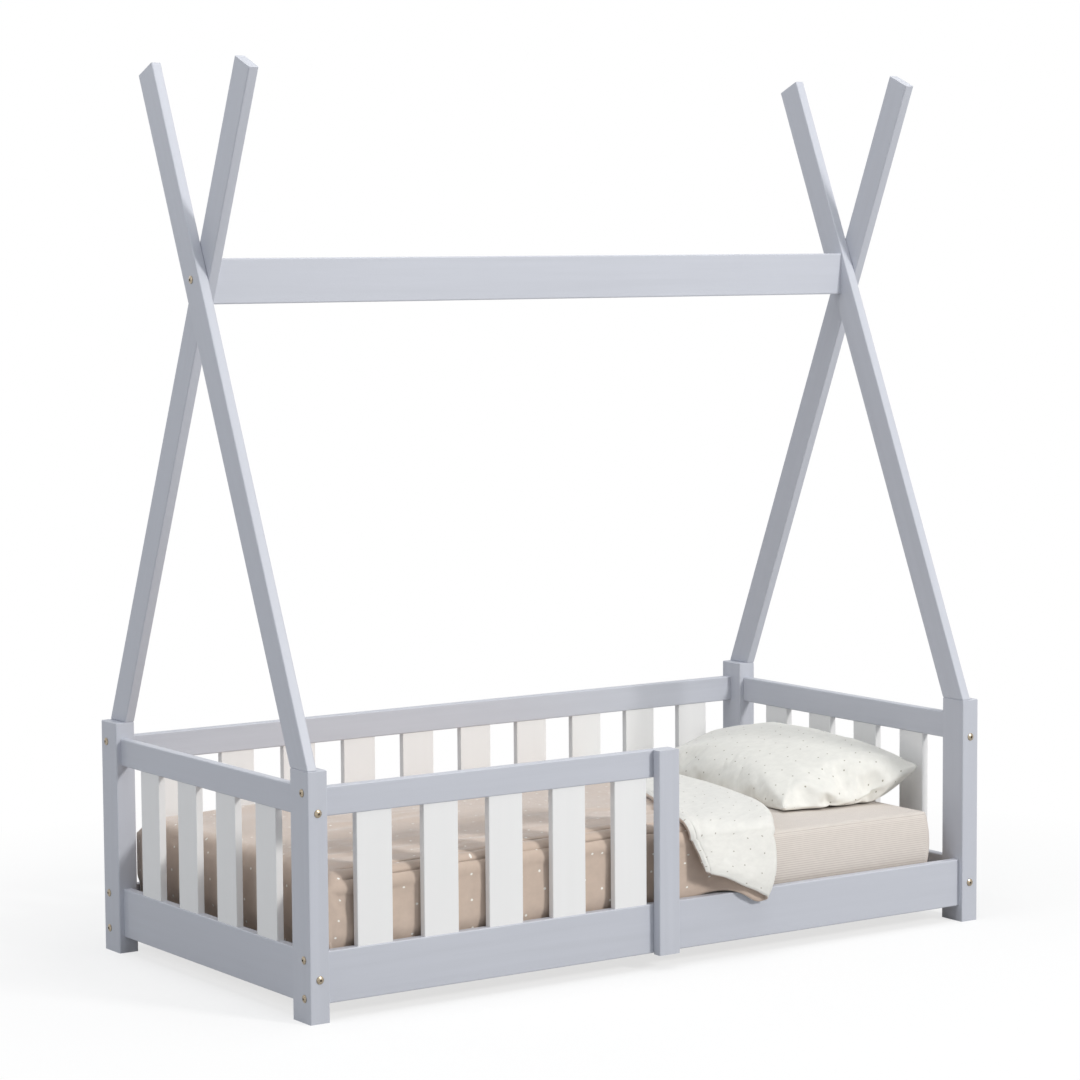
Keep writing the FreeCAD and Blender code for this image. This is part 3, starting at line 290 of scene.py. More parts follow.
FRAME_COLOUR = (195, 198, 207)
SLAT_COLOUR = (238, 238, 238)
SLAT_GRAIN_DEPTH = 0.006
PINE, PINE_STREAK = (214, 184, 138), (184, 146, 98)
BEECH, BEECH_STREAK = (206, 168, 118), (172, 130, 84)
# a pole leans in from the middle of a post's top to the crossing above the middle line
POLE_FOOT_OUT = 352
POST_HEIGHT, CROSSING_HEIGHT = 430, 1245
LEAN = math.atan(POLE_FOOT_OUT / (CROSSING_HEIGHT - POST_HEIGHT))

frame_paint = {axis: paint("frame_paint_" + axis, FRAME_COLOUR, axis) for axis in "xyz"}
for name, lean in (("pole_front", LEAN), ("pole_back", -LEAN)):
    frame_paint[name] = paint("frame_paint_" + name, FRAME_COLOUR, "z", lean)
slat_paint = paint("slat_paint", SLAT_COLOUR, "z", depth=SLAT_GRAIN_DEPTH)
board_wood = bare_wood("base_wood_y", PINE, PINE_STREAK, "y")
ledge_wood = bare_wood("base_wood_x", PINE, PINE_STREAK, "x")
dowel_wood = bare_wood("dowel_wood", BEECH, BEECH_STREAK, "z")
metal = zinc("fastener_zinc")
SOFT_NODES = ("mattress_core", "fitted_sheet", "duvet", "pillow")


def material_of(name):
    """The material of a node, whose grain runs along its timber."""
    if name.endswith(("_rail", "_board")):
        return frame_paint["y" if name.startswith(("foot_", "head_")) else "x"]
    if name.startswith("pole_") and name != "pole_dowels":
        return frame_paint["pole_front" if name.endswith("front") else "pole_back"]
    if name.startswith("post_") or name == "mid_post":
        return frame_paint["z"]
    if name == "base_slats":
        return board_wood
    if name.endswith("_ledge"):
        return ledge_wood
    if name.endswith("dowels"):
        return dowel_wood
    if name.endswith(("bolts", "nuts", "screws")):
        return metal
    return slat_paint


for name, thing in nodes.items():
    if name not in SOFT_NODES:
        thing.data.materials.clear()
        thing.data.materials.append(material_of(name))

# Cloths

duvet_outside = cloth("duvet_taupe", (206, 187, 172), dots=(247, 244, 238), dot_spacing=46.0,
                      dot_radius=2.4, sheen=0.7)
duvet_inside = cloth("duvet_off_white", (235, 234, 229), dots=(180, 175, 166),
                     dot_spacing=40.0, dot_radius=1.7)
pillow_cloth = cloth("pillow_off_white", (237, 236, 230), dots=(172, 167, 154),
                     dot_spacing=40.0, dot_radius=1.7)
sheet_cloth = cloth("sheet_striped", (226, 219, 211), stripes=(206, 196, 190))
ticking = cloth("mattress_cover", (236, 232, 222))

# Meshes


def mesh_object(name, points, faces, uv=None, materials=()):
    """A smooth mesh from points in metres, with cloth coordinates at each point."""
    mesh = bpy.data.meshes.new(name)
    mesh.from_pydata([tuple(p) for p in points], [], [tuple(map(int, f)) for f in faces])
    if uv is not None:
        layer = mesh.uv_layers.new(name="UVMap")
        corners = np.zeros(len(mesh.loops), int)
        mesh.loops.foreach_get("vertex_index", corners)
        layer.data.foreach_set("uv", np.asarray(uv, float)[corners].ravel())
    for material in materials:
        mesh.materials.append(material)
    mesh.shade_smooth()
    mesh.update()
    made = bpy.data.objects.new(name, mesh)
    scene.collection.objects.link(made)
    return made


def grid_faces(columns, rows, keep=None):
    """Quads between the points of a grid, in the order column by column."""
    i, j = np.meshgrid(np.arange(columns - 1), np.arange(rows - 1), indexing="ij")
    if keep is not None:
        chosen = keep[:-1, :-1] & keep[1:, :-1] & keep[:-1, 1:] & keep[1:, 1:]
        i, j = i[chosen], j[chosen]
    first = (i * rows + j).ravel()
    return np.stack([first, first + rows, first + rows + 1, first + 1], axis=1)


def apply_modifiers(thing):
    """Makes the object's modifiers part of its mesh."""
    bpy.context.view_layer.update()
    depsgraph = bpy.context.evaluated_depsgraph_get()
    mesh = bpy.data.meshes.new_from_object(
        thing.evaluated_get(depsgraph), preserve_all_data_layers=True, depsgraph=depsgraph
    )
    thing.modifiers.clear()
    thing.data = mesh
    mesh.shade_smooth()


def points_of(thing):
    """The mesh's points in millimetres."""
    found = np.zeros(len(thing.data.vertices) * 3)
    thing.data.vertices.foreach_get("co", found)
    return found.reshape(-1, 3) * 1000


def set_points(thing, points):
    """Moves the mesh's points to these places, in millimetres."""
    thing.data.vertices.foreach_set("co", (np.asarray(points) / 1000).ravel())
    thing.data.update()


# Mattress in its fitted sheet: rings of a rounded rectangle, one above another

# its reach from the model's middle to the foot end, the head end and each side
FOOT, HEAD, SIDE = 681.0, 662.0, 345.0
MATTRESS_LOW, MATTRESS_TOP = 95.3, 214.3
MATTRESS_MIDDLE = (MATTRESS_LOW + MATTRESS_TOP) / 2
CORNER = 22.0
EDGE = 14.0
# half the height of its side between the rounded edges, and how far that side bulges
SIDE_HALF = (MATTRESS_TOP - MATTRESS_LOW) / 2 - EDGE
BULGE = 5.0
# how much higher the middle line is, also on the duvet, where it falls off at this distance
CROWN, CROWN_REACH = 3.0, 360
# the sheet's piping runs round the upper edge
PIPING_HIGH, PIPING_ANGLE, PIPING_SPREAD = 1.4, 44, 5
# the rings: under the mattress, up its side, over its upper edge and over its top
CORE_UNDER_INSETS = (200, 100, 45)
SHEET_UNDER_INSETS = (45, 32)
LOWER_EDGE_ANGLES = range(0, 91, 15)
SIDE_RINGS = 15
UPPER_EDGE_ANGLES = (90, 75, 60, 52, 48, 44, 40, 36, 28, 15, 0)
TOP_INSETS = (30, 45, 65, 90, 120, 160, 200, 240, 280, 310, 335, 343)
# points round each corner, and from the corner at the head end's front on along each side
CORNER_POINTS, SIDE_POINTS = 14, (60, 120, 60, 120)
# how far the mattress lies inside its sheet
SHEET_GAP = 1.2
# the sheet's small waves, by their height, their width and the step from point to point
WAVE_HIGH, WAVE_WIDE, WAVE_STEP = 0.9, 90.0, 12.0
WAVES_END = 60


def ridge(distance, width):
    """1 on a line, and less and less to both sides of it."""
    return np.exp(-((distance / width) ** 2))


def rounded_ring(inset):
    """Points of the mattress's outline, drawn in by inset, with their outward ways."""
    radius = max(CORNER - inset, 1.0)
    left, right, side = -FOOT + inset + radius, HEAD - inset - radius, SIDE - inset - radius
    corners = ((right, -side, -90), (right, side, 0), (left, side, 90), (left, -side, 180))
    points, ways = [], []
    for number, (x, y, start) in enumerate(corners):
        for angle in np.radians(np.linspace(start, start + 90, CORNER_POINTS)):
            ways.append(np.array([math.cos(angle), math.sin(angle)]))
            points.append((x, y) + radius * ways[-1])
        way, count = ways[-1], SIDE_POINTS[number]
        last, target = points[-1], corners[(number + 1) % 4][:2] + radius * way
        points.extend(last + (target - last) * step / count for step in range(1, count))
        ways.extend([way] * (count - 1))
    return np.array(points), np.array(ways)


def block_profile(shrink, under):
    """(inset, height) pairs from under the mattress, up its side and over its top."""
    bottom, top = MATTRESS_LOW + shrink, MATTRESS_TOP - shrink
    pairs = [(inset, bottom) for inset in under]
    for angle in LOWER_EDGE_ANGLES:
        turn = math.radians(angle)
        pairs.append((BULGE + EDGE * (1 - math.sin(turn)) + shrink,
                      bottom + EDGE * (1 - math.cos(turn))))
    for t in np.linspace(-1, 1, SIDE_RINGS)[1:-1]:
        pairs.append((BULGE * t * t + shrink, MATTRESS_MIDDLE + SIDE_HALF * t))
    for angle in UPPER_EDGE_ANGLES:
        turn = math.radians(angle)
        piping = 0.0 if shrink else PIPING_HIGH * ridge(angle - PIPING_ANGLE, PIPING_SPREAD)
        pairs.append((BULGE + EDGE * (1 - math.sin(turn)) + shrink - piping,
                      top - EDGE * (1 - math.cos(turn)) + piping))
    for inset in TOP_INSETS:
        crown = CROWN * (1 - ((SIDE - inset) / (SIDE - BULGE - EDGE)) ** 2)
        pairs.append((inset, top + crown))
    return pairs


def block_mesh(name, shrink, under, close_under, material):
    """The mattress's shape as a mesh. The stripes' coordinate runs across the bed."""
    rings, uvs = [], []
    for index, (inset, height) in enumerate(block_profile(shrink, under)):
        flat, ways = rounded_ring(inset)
        wave = 0.0
        if shrink == 0 and index > len(under):
            along = np.arange(len(flat)) * WAVE_STEP
            wave = WAVE_HIGH * noise(along, height, WAVE_WIDE, 3) * smooth(inset, WAVES_END, 0)
        rings.append(np.column_stack([flat + ways * np.reshape(wave, (-1, 1)),
                                      np.full(len(flat), height)]))
        below = max(0.0, MATTRESS_TOP - height)
        across = flat[:, 1] - np.sign(-ways[:, 1]) * below * np.abs(ways[:, 1]) ** 2
        uvs.append(np.column_stack([flat[:, 0], across]) / 1000)
    count = len(rings[0])
    last = (len(rings) - 1) * count
    faces = [(ring + k, ring + (k + 1) % count, ring + count + (k + 1) % count, ring + count + k)
             for ring in range(0, last, count) for k in range(count)]
    faces.append(range(last, last + count))
    if close_under:
        faces.append(reversed(range(count)))
    return mesh_object(name, place(np.vstack(rings)), faces, np.vstack(uvs), (material,))


mattress = block_mesh("bedding_mattress", SHEET_GAP, CORE_UNDER_INSETS, True, ticking)
fitted = block_mesh("bedding_sheet", 0.0, SHEET_UNDER_INSETS, False, sheet_cloth)

# Duvet: its middle surface is a grid from the foot hem to the head hem and from the back hem to
# the front hem. The head end folds over on itself, and its corner hangs over the front rail.

# where its sides and its foot end hang, and the radius of the shoulders above them
WALL, FOOT_WALL = 349.0, 686.5
ROUND = 27.0
FLAT, FOOT_FLAT = WALL - ROUND, FOOT_WALL - ROUND
TUCKED_LOW = 102.0
# the foot end's corners: how far they are from round ones in plan, and how much fuller
CORNER_SQUARE_SHARE, CORNER_PUFF_SHARE = 0.85, 0.38
# over this stretch the corners' form passes into the sides'
CORNER_BLEND = 60
# the front edge rounds off early under the turned-back corner, over this stretch
SLOPE_START, SLOPE_DROP = 232.0, 8.0
SLOPE_STRETCH = (40, 190)
# and there the side comes out over the rail, over this stretch, and up from its shoulder
OVER_RAIL_STRETCH = (108, 178)
OVER_RAIL_OUT, OVER_RAIL_UP = 4, 14
# what lies further to the front than this stretch hangs
HANGING_STRETCH = (340, 372)
SHORTEST_SIDE = 4
# thickness on top, how much less that is near the fold, in the sides and over the rail
TOP_THICK, LESS_AT_FOLD, SIDE_THICK, MORE_OVER_RAIL = 26.0, 3.0, 6.4, 2.6
THINNING_STRETCH = (100, 330)
# the turned-back layer: its thickness, and the gap under it
TURNED_THICK, LAYER_GAP = 13.5, 0.5
TURNED_WALL, TURNED_WALL_TOP = 364, 226
# how far round the back shoulder it reaches, in degrees, and how it thins out there
BACK_TURN, BACK_HEM_TURN = 22, 20
LESS_AT_BACK, LESS_AT_BACK_HEM, LESS_AT_FRONT = 3.9, 3.6, 2.5
# its hem on the part that hangs, and how far that slants
HANGING_HEM, HEM_SLANT = 70, 14

# lines read from the photo. (x along the bed, height) of the top along the middle line,
TOP_LINE = ((-660, 245), (-450, 250), (-250, 255), (-84, 258), (60, 251), (150, 246), (300, 243),
            (400, 240))
# (distance to the front of the middle line, x) of the fold and of the turned-back hem,
FOLD_LINE = ((-345, 386), (-47, 374), (127, 356), (230, 330), (300, 303), (345, 272), (366, 260),
             (379, 255), (387, 245), (400, 240))
HEM_LINE = ((-345, 336), (-100, 250), (120, 160), (200, 122), (303, 76), (340, 66), (400, 72))
# (height, x) of the fold where it hangs,
HANGING_FOLD = ((96, 213), (110, 224), (122, 232), (149, 243), (181, 253), (203, 256), (223, 253),
                (240, 246), (262, 244))
# (x, height) of the lower edges of the corner that hangs and of both sides,
HANGING_LOW = ((60, 174), (82, 169), (96, 163), (130, 152), (166, 134), (200, 119), (226, 104),
               (300, 92))
FRONT_LOW = ((-690, TUCKED_LOW), (20, TUCKED_LOW), (70, 112), (112, 121.4), (160, 121.8),
             (184, 110), (202, 100), (222, 99), (300, 96))
BACK_LOW = ((-690, TUCKED_LOW), (150, TUCKED_LOW), (260, 150), (350, 205), (400, 212))
# and (minus the height, distance to the front) of both layers as they hang over the rail
HUNG_LINE = ((-215, 353), (-172, 366), (-142, 377.5), (-115, 381), (-90, 383))
TURNED_LINE = ((-TURNED_WALL_TOP, TURNED_WALL), (-180, 380), (-148, 389), (-120, 392), (-90, 394))

# the grid's rows, from the foot hem to the head hem, closer together towards that hem
N_WALL, N_ROUND, N_TOP, N_NOSE = 18, 16, 160, 9
TURN_SHARES = np.hstack([np.linspace(0, 0.84, 34), np.linspace(0.84, 1.0, 15)[1:]])
FLAT_ROW = N_WALL + N_ROUND
FOLD_ROW = FLAT_ROW + N_TOP
TURN_ROW = FOLD_ROW + 1 + N_NOSE
N_ROWS = TURN_ROW + len(TURN_SHARES)
# and its columns from the back hem to the front hem, closer together towards the front edge.
# Each says which side it is on, and how far over that side's shoulder and down its wall.
N_HANG = 18
TOP_SHARES = np.hstack([np.linspace(0, 0.9, 62), np.linspace(0.9, 1.0, 21)[1:]])
BACK, TOP, FRONT = 1, 0, -1
COLUMNS = [(BACK, 1.0, 1 - k / N_WALL) for k in range(N_WALL)]
COLUMNS += [(BACK, 1 - k / N_ROUND, 0.0) for k in range(N_ROUND)]
COLUMNS += [(TOP, share, 0.0) for share in TOP_SHARES]
COLUMNS += [(FRONT, (k + 1) / N_ROUND, 0.0) for k in range(N_ROUND)]
COLUMNS += [(FRONT, 1.0, (k + 1) / N_HANG) for k in range(N_HANG)]


def slope_share(x):
    return smooth(x, *SLOPE_STRETCH)


def duvet_top(x, y):
    """The height of the duvet's upper face where it lies flat."""
    out = np.clip((-y - SLOPE_START) / (FLAT - SLOPE_START), 0, 1)
    crown = CROWN * (1 - (y / CROWN_REACH) ** 2)
    return curve(x, TOP_LINE) + crown - SLOPE_DROP * slope_share(x) * out**2


def front_lean(x):
    """The angle at which the top slopes down where the front shoulder starts."""
    return np.arctan(2 * SLOPE_DROP / (FLAT - SLOPE_START) * slope_share(x))


def shoulder(share, lean):
    """How far out and down a shoulder has come, from a slope of that angle to upright."""
    turn = lean + share * (math.pi / 2 - lean)
    out = (np.sin(turn) - np.sin(lean)) / (1 - np.sin(lean))
    return out, (np.cos(lean) - np.cos(turn)) / np.cos(lean)


def over_rail(x, side):
    """How far the front side has come out over the rail, which it does near the fold."""
    return smooth(x, *OVER_RAIL_STRETCH) if side == FRONT else 0 * x


def base_thickness(x):
    return TOP_THICK - LESS_AT_FOLD * smooth(x, *THINNING_STRETCH)


def turned_thickness(column):
    side, share, wall = column
    if side == BACK:
        return TURNED_THICK - LESS_AT_BACK * share - LESS_AT_BACK_HEM * wall
    return TURNED_THICK - LESS_AT_FRONT * share if side == FRONT else TURNED_THICK


def base_side(x, column):
    """(distance from the middle line, height) of the lower layer's side."""
    side, share, wall = column
    top = duvet_top(x, side * FLAT) - base_thickness(x) / 2
    over = over_rail(x, side)
    wall_y = WALL + OVER_RAIL_OUT * over
    wall_top = top - ROUND + OVER_RAIL_UP * over
    if wall > 0:
        low_end = curve(x, FRONT_LOW if side == FRONT else BACK_LOW)
        low_end = np.minimum(low_end, wall_top - SHORTEST_SIDE)
        z = wall_top + (low_end - wall_top) * wall
        return WALL * (1 - over) + curve(-z, HUNG_LINE) * over, z
    out, fall = shoulder(share, front_lean(x) if side == FRONT else 0 * x)
    return FLAT + (wall_y - FLAT) * out, top - (top - wall_top) * fall


def turned_side(x, column):
    """The same of the turned-back layer's side, which ends on the shoulder at the back."""
    side, share, wall = column
    if side == BACK:
        turn = math.radians(BACK_TURN * share + BACK_HEM_TURN * wall)
        over = turn / (math.pi / 2)
        under = base_thickness(x) * (1 - over) + SIDE_THICK * over
        centre = duvet_top(x, FLAT) - base_thickness(x) / 2 - ROUND
        reach = ROUND + under / 2 + LAYER_GAP + turned_thickness(column) / 2
        return FLAT + reach * np.sin(turn), centre + reach * np.cos(turn)
    if wall > 0:
        z = TURNED_WALL_TOP + (curve(x, HANGING_LOW) - TURNED_WALL_TOP) * wall
        return curve(-z, TURNED_LINE), z
    top = duvet_top(x, -FLAT) + TURNED_THICK / 2 + LAYER_GAP
    out, fall = shoulder(share, front_lean(x))
    return FLAT + (TURNED_WALL - FLAT) * out, top - (top - TURNED_WALL_TOP) * fall


def layer_point(x, column, turned):
    """A point of the middle surface at x, and the cloth's thickness there."""
    side, share, wall = column
    x = np.asarray(x, float)
    if turned:
        thick = turned_thickness(column)
    elif side == TOP:
        thick = base_thickness(x)
    else:
        over = over_rail(x, side)
        thick = base_thickness(x) * (1 - share) + (SIDE_THICK + MORE_OVER_RAIL * over) * share
    if side == TOP:
        y = FLAT - 2 * FLAT * share + 0 * x
        z = duvet_top(x, y) + (thick / 2 + LAYER_GAP if turned else -thick / 2)
    else:
        y, z = turned_side(x, column) if turned else base_side(x, column)
        y, z = side * y + 0 * x, z + 0 * x
    return np.stack([x, y, z], axis=-1), thick + 0 * x


def foot_rows(column):
    """The rows up the foot end and over its shoulder: points, thickness, and which are kept."""
    side, share, wall = column
    across = math.sin(share * math.pi / 2) if side else 0.0
    shoulder_y = FLAT * side if side else FLAT - 2 * FLAT * share
    flat_column = (TOP, 0.0 if side == BACK else 1.0, 0.0) if side else column
    start, start_thick = layer_point(-FOOT_FLAT, flat_column, False)
    row = np.arange(FLAT_ROW + 1)
    drop = np.maximum(1 - row / N_WALL, 0)
    along = np.sin(np.minimum(1 - (row - N_WALL) / N_ROUND, 1) * math.pi / 2)
    round_x = along * math.sqrt(1 - across**2 / 2)
    round_y = across * np.sqrt(1 - along**2 / 2)
    sphere = 1 - np.sqrt(np.maximum(1 - round_x**2 - round_y**2, 0))
    z = start[2] - ROUND * sphere * (1 - CORNER_PUFF_SHARE * along * across)
    z = z + (TUCKED_LOW - z) * (wall if wall > 0 else drop)
    out_x = round_x + (along - round_x) * CORNER_SQUARE_SHARE
    out_y = round_y + (across - round_y) * CORNER_SQUARE_SHARE
    points = np.column_stack([-FOOT_FLAT - ROUND * out_x, shoulder_y + ROUND * out_y * side, z])
    rim = np.maximum(along, across)
    return points, start_thick * (1 - rim) + SIDE_THICK * rim, (drop == 0) | (wall == 0)


def fold_place(column):
    """Where the middle surface starts to turn back, so that the fold ends at its line."""
    side, _, wall = column
    hangs = side == FRONT and wall > 0
    fold_x = 300.0
    for _ in range(6):
        under, under_thick = layer_point(fold_x, column, False)
        over, over_thick = layer_point(fold_x, column, True)
        radius = float(norm(over - under)) / 2
        outer = float(curve(over[2], HANGING_FOLD) if hangs else curve(-over[1], FOLD_LINE))
        fold_x = outer - radius - float(under_thick + over_thick) / 4
    return fold_x


def top_rows(column, fold_x, foot_point, foot_thick):
    """The rows along the top or the side, from the foot end's shoulder to the fold."""
    xs = -FOOT_FLAT + (fold_x + FOOT_FLAT) * np.linspace(0, 1, N_TOP + 1)
    points, sizes = layer_point(xs, column, False)
    if column[0] != TOP:
        share = smooth(xs, -FOOT_FLAT, -FOOT_FLAT + CORNER_BLEND)
        straight = np.column_stack([xs, 0 * xs + foot_point[1], 0 * xs + foot_point[2]])
        points = straight * (1 - share[:, None]) + points * share[:, None]
        sizes = foot_thick * (1 - share) + sizes * share
    return points, sizes


def nose_rows(under, over, under_thick, over_thick):
    """The rows round the fold: half a circle from the lower layer to the turned-back one."""
    turn = math.pi * np.arange(1, N_NOSE + 1) / (N_NOSE + 1)
    share_up = (1 - np.cos(turn)) / 2
    points = under + (over - under) * share_up[:, None]
    points[:, 0] += norm(over - under) / 2 * np.sin(turn)
    return points, under_thick * (1 - share_up) + over_thick * share_up


def turned_rows(column, fold_x, fold_y):
    """The rows back over the top, from the fold to the hem."""
    side, _, wall = column
    hem_x = float(curve(-fold_y, HEM_LINE))
    if side == FRONT and wall > 0:
        hem_x = HANGING_HEM + HEM_SLANT * wall
    return layer_point(fold_x + (hem_x - fold_x) * TURN_SHARES, column, True)


def column_rows(column):
    """All rows of one column: points, thickness, and which are kept."""
    foot, foot_sizes, kept = foot_rows(column)
    fold_x = fold_place(column)
    top, top_sizes = top_rows(column, fold_x, foot[-1], foot_sizes[-1])
    over, over_thick = layer_point(fold_x, column, True)
    nose, nose_sizes = nose_rows(top[-1], over, top_sizes[-1], over_thick)
    turned, turned_sizes = turned_rows(column, fold_x, over[1])
    points = np.vstack([foot[:-1], top, nose, turned])
    sizes = np.hstack([foot_sizes[:-1], top_sizes, nose_sizes, turned_sizes])
    return points, sizes, np.hstack([kept[:-1], np.ones(N_ROWS - FLAT_ROW, bool)])


def normals_of(grid):
    """Unit normals of the grid's surface, up where it lies on the mattress."""
    normal = np.cross(np.gradient(grid, axis=1), np.gradient(grid, axis=0))
    length = norm(normal, axis=2, keepdims=True)
    return normal / np.maximum(length, 1e-9)


def cloth_coordinates(middle, thick):
    """Lengths in metres along the grid's lines, on the face that shows."""
    half = normals_of(middle) * thick[..., None] / 2
    face, other_face = middle + half, middle - half
    step_along = norm(np.diff(face, axis=0), axis=2)
    step_along[FOLD_ROW:] = norm(np.diff(other_face[FOLD_ROW:], axis=0), axis=2)
    along = np.vstack([np.zeros(len(COLUMNS)), np.cumsum(step_along, axis=0)])
    along = along - along[FLAT_ROW] + FOOT_FLAT
    step_across = norm(np.diff(face[FLAT_ROW + N_TOP // 2], axis=0), axis=1)
    across = np.hstack([0, np.cumsum(step_across)])
    return np.stack([along, np.broadcast_to(across, along.shape)], axis=2) / 1000


class Places:
    """Where the duvet's points are, and how far each belongs to each part of the cloth."""

    def __init__(self, middle):
        self.x, self.y, self.z = middle[..., 0], middle[..., 1], middle[..., 2]
        self.side, self.share, self.wall = (np.array(part)[None, :] + 0 * self.x
                                            for part in zip(*COLUMNS))
        row = np.arange(N_ROWS)[:, None] + 0 * self.x
        self.rows_left = N_ROWS - 1 - row
        self.to_hem = norm(middle - middle[-1:], axis=2)
        self.on_turn = smooth(row, FOLD_ROW + 2, FOLD_ROW + N_NOSE + 2)
        self.on_base = 1 - self.on_turn
        self.in_front = self.side == FRONT
        down = np.maximum(smooth(self.share, 0.7, 1.0), smooth(self.wall, 0, 0.05))
        self.down = down * (self.side != TOP)
        self.hanging = smooth(-self.y, *HANGING_STRETCH)


# The duvet's folds. Each function gives how far out or in they push the cloth, in millimetres.


def flat_swells(at):
    """Soft swells and long creases where it lies flat."""
    x, y = at.x, at.y
    inside = smooth(FLAT + 12 - np.abs(y), 0, 30) * smooth(x, -FOOT_WALL + 4, -FOOT_FLAT + 30)
    swell = waves((3.0, x, y, 150, 11), (1.5, x, y, 62, 12))
    bend_x = x + 26 * noise(x, y, 170, 13)
    bend_y = y + 20 * noise(x, y, 150, 14)
    crease = 1 - np.abs(noise(bend_x * 0.35, bend_y, 34, 15))
    crease = np.clip(crease - 0.5, 0, 1) * 6.0
    creased = smooth(noise(x, y, 210, 16), -0.2, 0.6)
    return (swell + crease * creased) * inside * at.on_base


def edge_creases(at):
    """Two sharp creases along the front edge, with a soft roll between them."""
    x, y = at.x, at.y
    over_edge = np.where(at.side == TOP, -y - FLAT, ROUND * math.pi / 2 * at.share + 110 * at.wall)
    far_away = (at.side == BACK) | ((at.side == TOP) & (y > 0))
    over_edge = np.where(far_away, -400, over_edge)
    wander = waves((3.5, x, 0 * y, 130, 17), (1.2, x, 0 * y, 41, 18))
    zone = at.on_base * smooth(x, 90, 30) * smooth(x, -FOOT_FLAT - 5, -FOOT_FLAT + 25)
    strong = 0.75 + 0.35 * noise(x, 0 * y, 70, 19)
    first = ridge(over_edge + 1 - wander, 3.2) * strong
    second = ridge(over_edge - 17 - 0.5 * wander, 3.0)
    roll = ridge(over_edge - 8.5 - 0.8 * wander, 5.0)
    return (-3.6 * first + 1.8 * roll - 3.4 * second) * zone


def side_folds(at):
    """Upright folds in the front side, closer to the foot end gathered up."""
    x, z = at.x, at.z
    upright = 1 + waves((0.9, x + 0.25 * z, 0.22 * z, 34, 31), (0.8, x - 0.2 * z, 0.3 * z, 15, 32))
    free_side = at.on_base * smooth(x, -FOOT_WALL, -FOOT_FLAT + 12) * smooth(x, 105, 60)
    gathered = 1 + 1.2 * smooth(-x, 520, 640)
    return -1.35 * gathered * upright * at.down * free_side * at.in_front


def corner_folds(at):
    """Slanting folds bunched up at the foot end's front corner."""
    x, z = at.x, at.z
    slant = waves((1, x + 0.75 * z, 0.16 * z, 26, 35), (0.5, x + 0.9 * z, 0.2 * z, 12, 36))
    bunch = smooth(-x, 500, 600) * smooth(-x, FOOT_WALL, FOOT_WALL - 12) * at.on_base
    return -3.4 * (1 + slant) * bunch * at.down * at.in_front * smooth(z, 236, 200)


def foot_folds(at):
    """Upright folds in the foot end."""
    y, z = at.y, at.z
    at_foot = smooth(-at.x, FOOT_FLAT + 8, FOOT_WALL - 3) * smooth(FLAT - 4 - np.abs(y), 0, 40)
    upright = 1 + waves((1, y + 0.25 * z, 0.22 * z, 44, 33), (0.6, y, 0.3 * z, 18, 34))
    return -3.3 * upright * at_foot


def tucked_edges(at):
    """The lower edges of the sides and the foot end, which are tucked in."""
    outside = smooth(np.abs(at.y) + (at.x < -FOOT_FLAT) * 400, 330, 345)
    low_edge = smooth(-at.z, -140, -114) * at.on_base * outside
    return -8.0 * low_edge * smooth(at.x, 60, 20)


def turned_folds(at):
    """Folds in the turned-back layer, which run from the fold towards the hem."""
    x, y = at.x, at.y
    fan = np.arctan2(y + 420, x - 60)
    fold = waves((3.4, fan * 240, x * 0.25, 30, 21), (2.6, x, y, 80, 22))
    off_back = smooth(-y, -FLAT - 5, 60 - FLAT)
    return -fold * at.on_turn * (1 - 0.8 * at.hanging) * off_back


def hanging_folds(at):
    """Folds in the corner of the turned-back layer that hangs over the rail."""
    x, z = at.x, at.z
    drape = waves((3.4, x - 0.5 * z, 0.4 * x + z, 52, 23), (1.6, x - 0.7 * z, z, 24, 25))
    return -drape * at.on_turn * at.hanging


def under_hanging_folds(at):
    """Folds in the lower layer where it hangs over the rail, too shallow to reach the other."""
    x, z = at.x, at.z
    drape = waves((3.6, x - 0.35 * z, 0.3 * z, 27, 26), (1.6, x - 0.6 * z, 0.3 * z, 13, 27))
    return np.minimum(drape, 1.4) * at.on_base * at.hanging * smooth(x, 70, 120)


def hem_stitching(at):
    """The furrow of a line of stitching along the head hem."""
    return 1.3 * ridge(at.to_hem - 11, 2.6) * at.on_turn


FOLDS = (flat_swells, edge_creases, side_folds, corner_folds, foot_folds, tucked_edges,
         turned_folds, hanging_folds, under_hanging_folds, hem_stitching)
# how far in the sides can be pushed before the mattress shows through
SIDE_ROOM = 5.6


def held_off_mattress(push, at):
    """The pushes with those inwards held back, so that the mattress never shows through."""
    level = np.clip((at.z - MATTRESS_MIDDLE) / SIDE_HALF, -1, 1)
    room = SIDE_ROOM + BULGE * level**2
    held = np.where(push < 0, -room * np.tanh(-push / room), push)
    return push + (held - push) * at.on_base


def thinner_at_hems(thick, at):
    """The thickness, less over the last rows before the head hem and at the front hem."""
    thick = thick * (0.42 + 0.58 * smooth(at.rows_left / 4, 0, 1))
    front_hem = smooth(1 - at.wall, 0, 0.2) * at.in_front + (at.side != FRONT)
    return thick * (0.5 + 0.5 * front_hem)


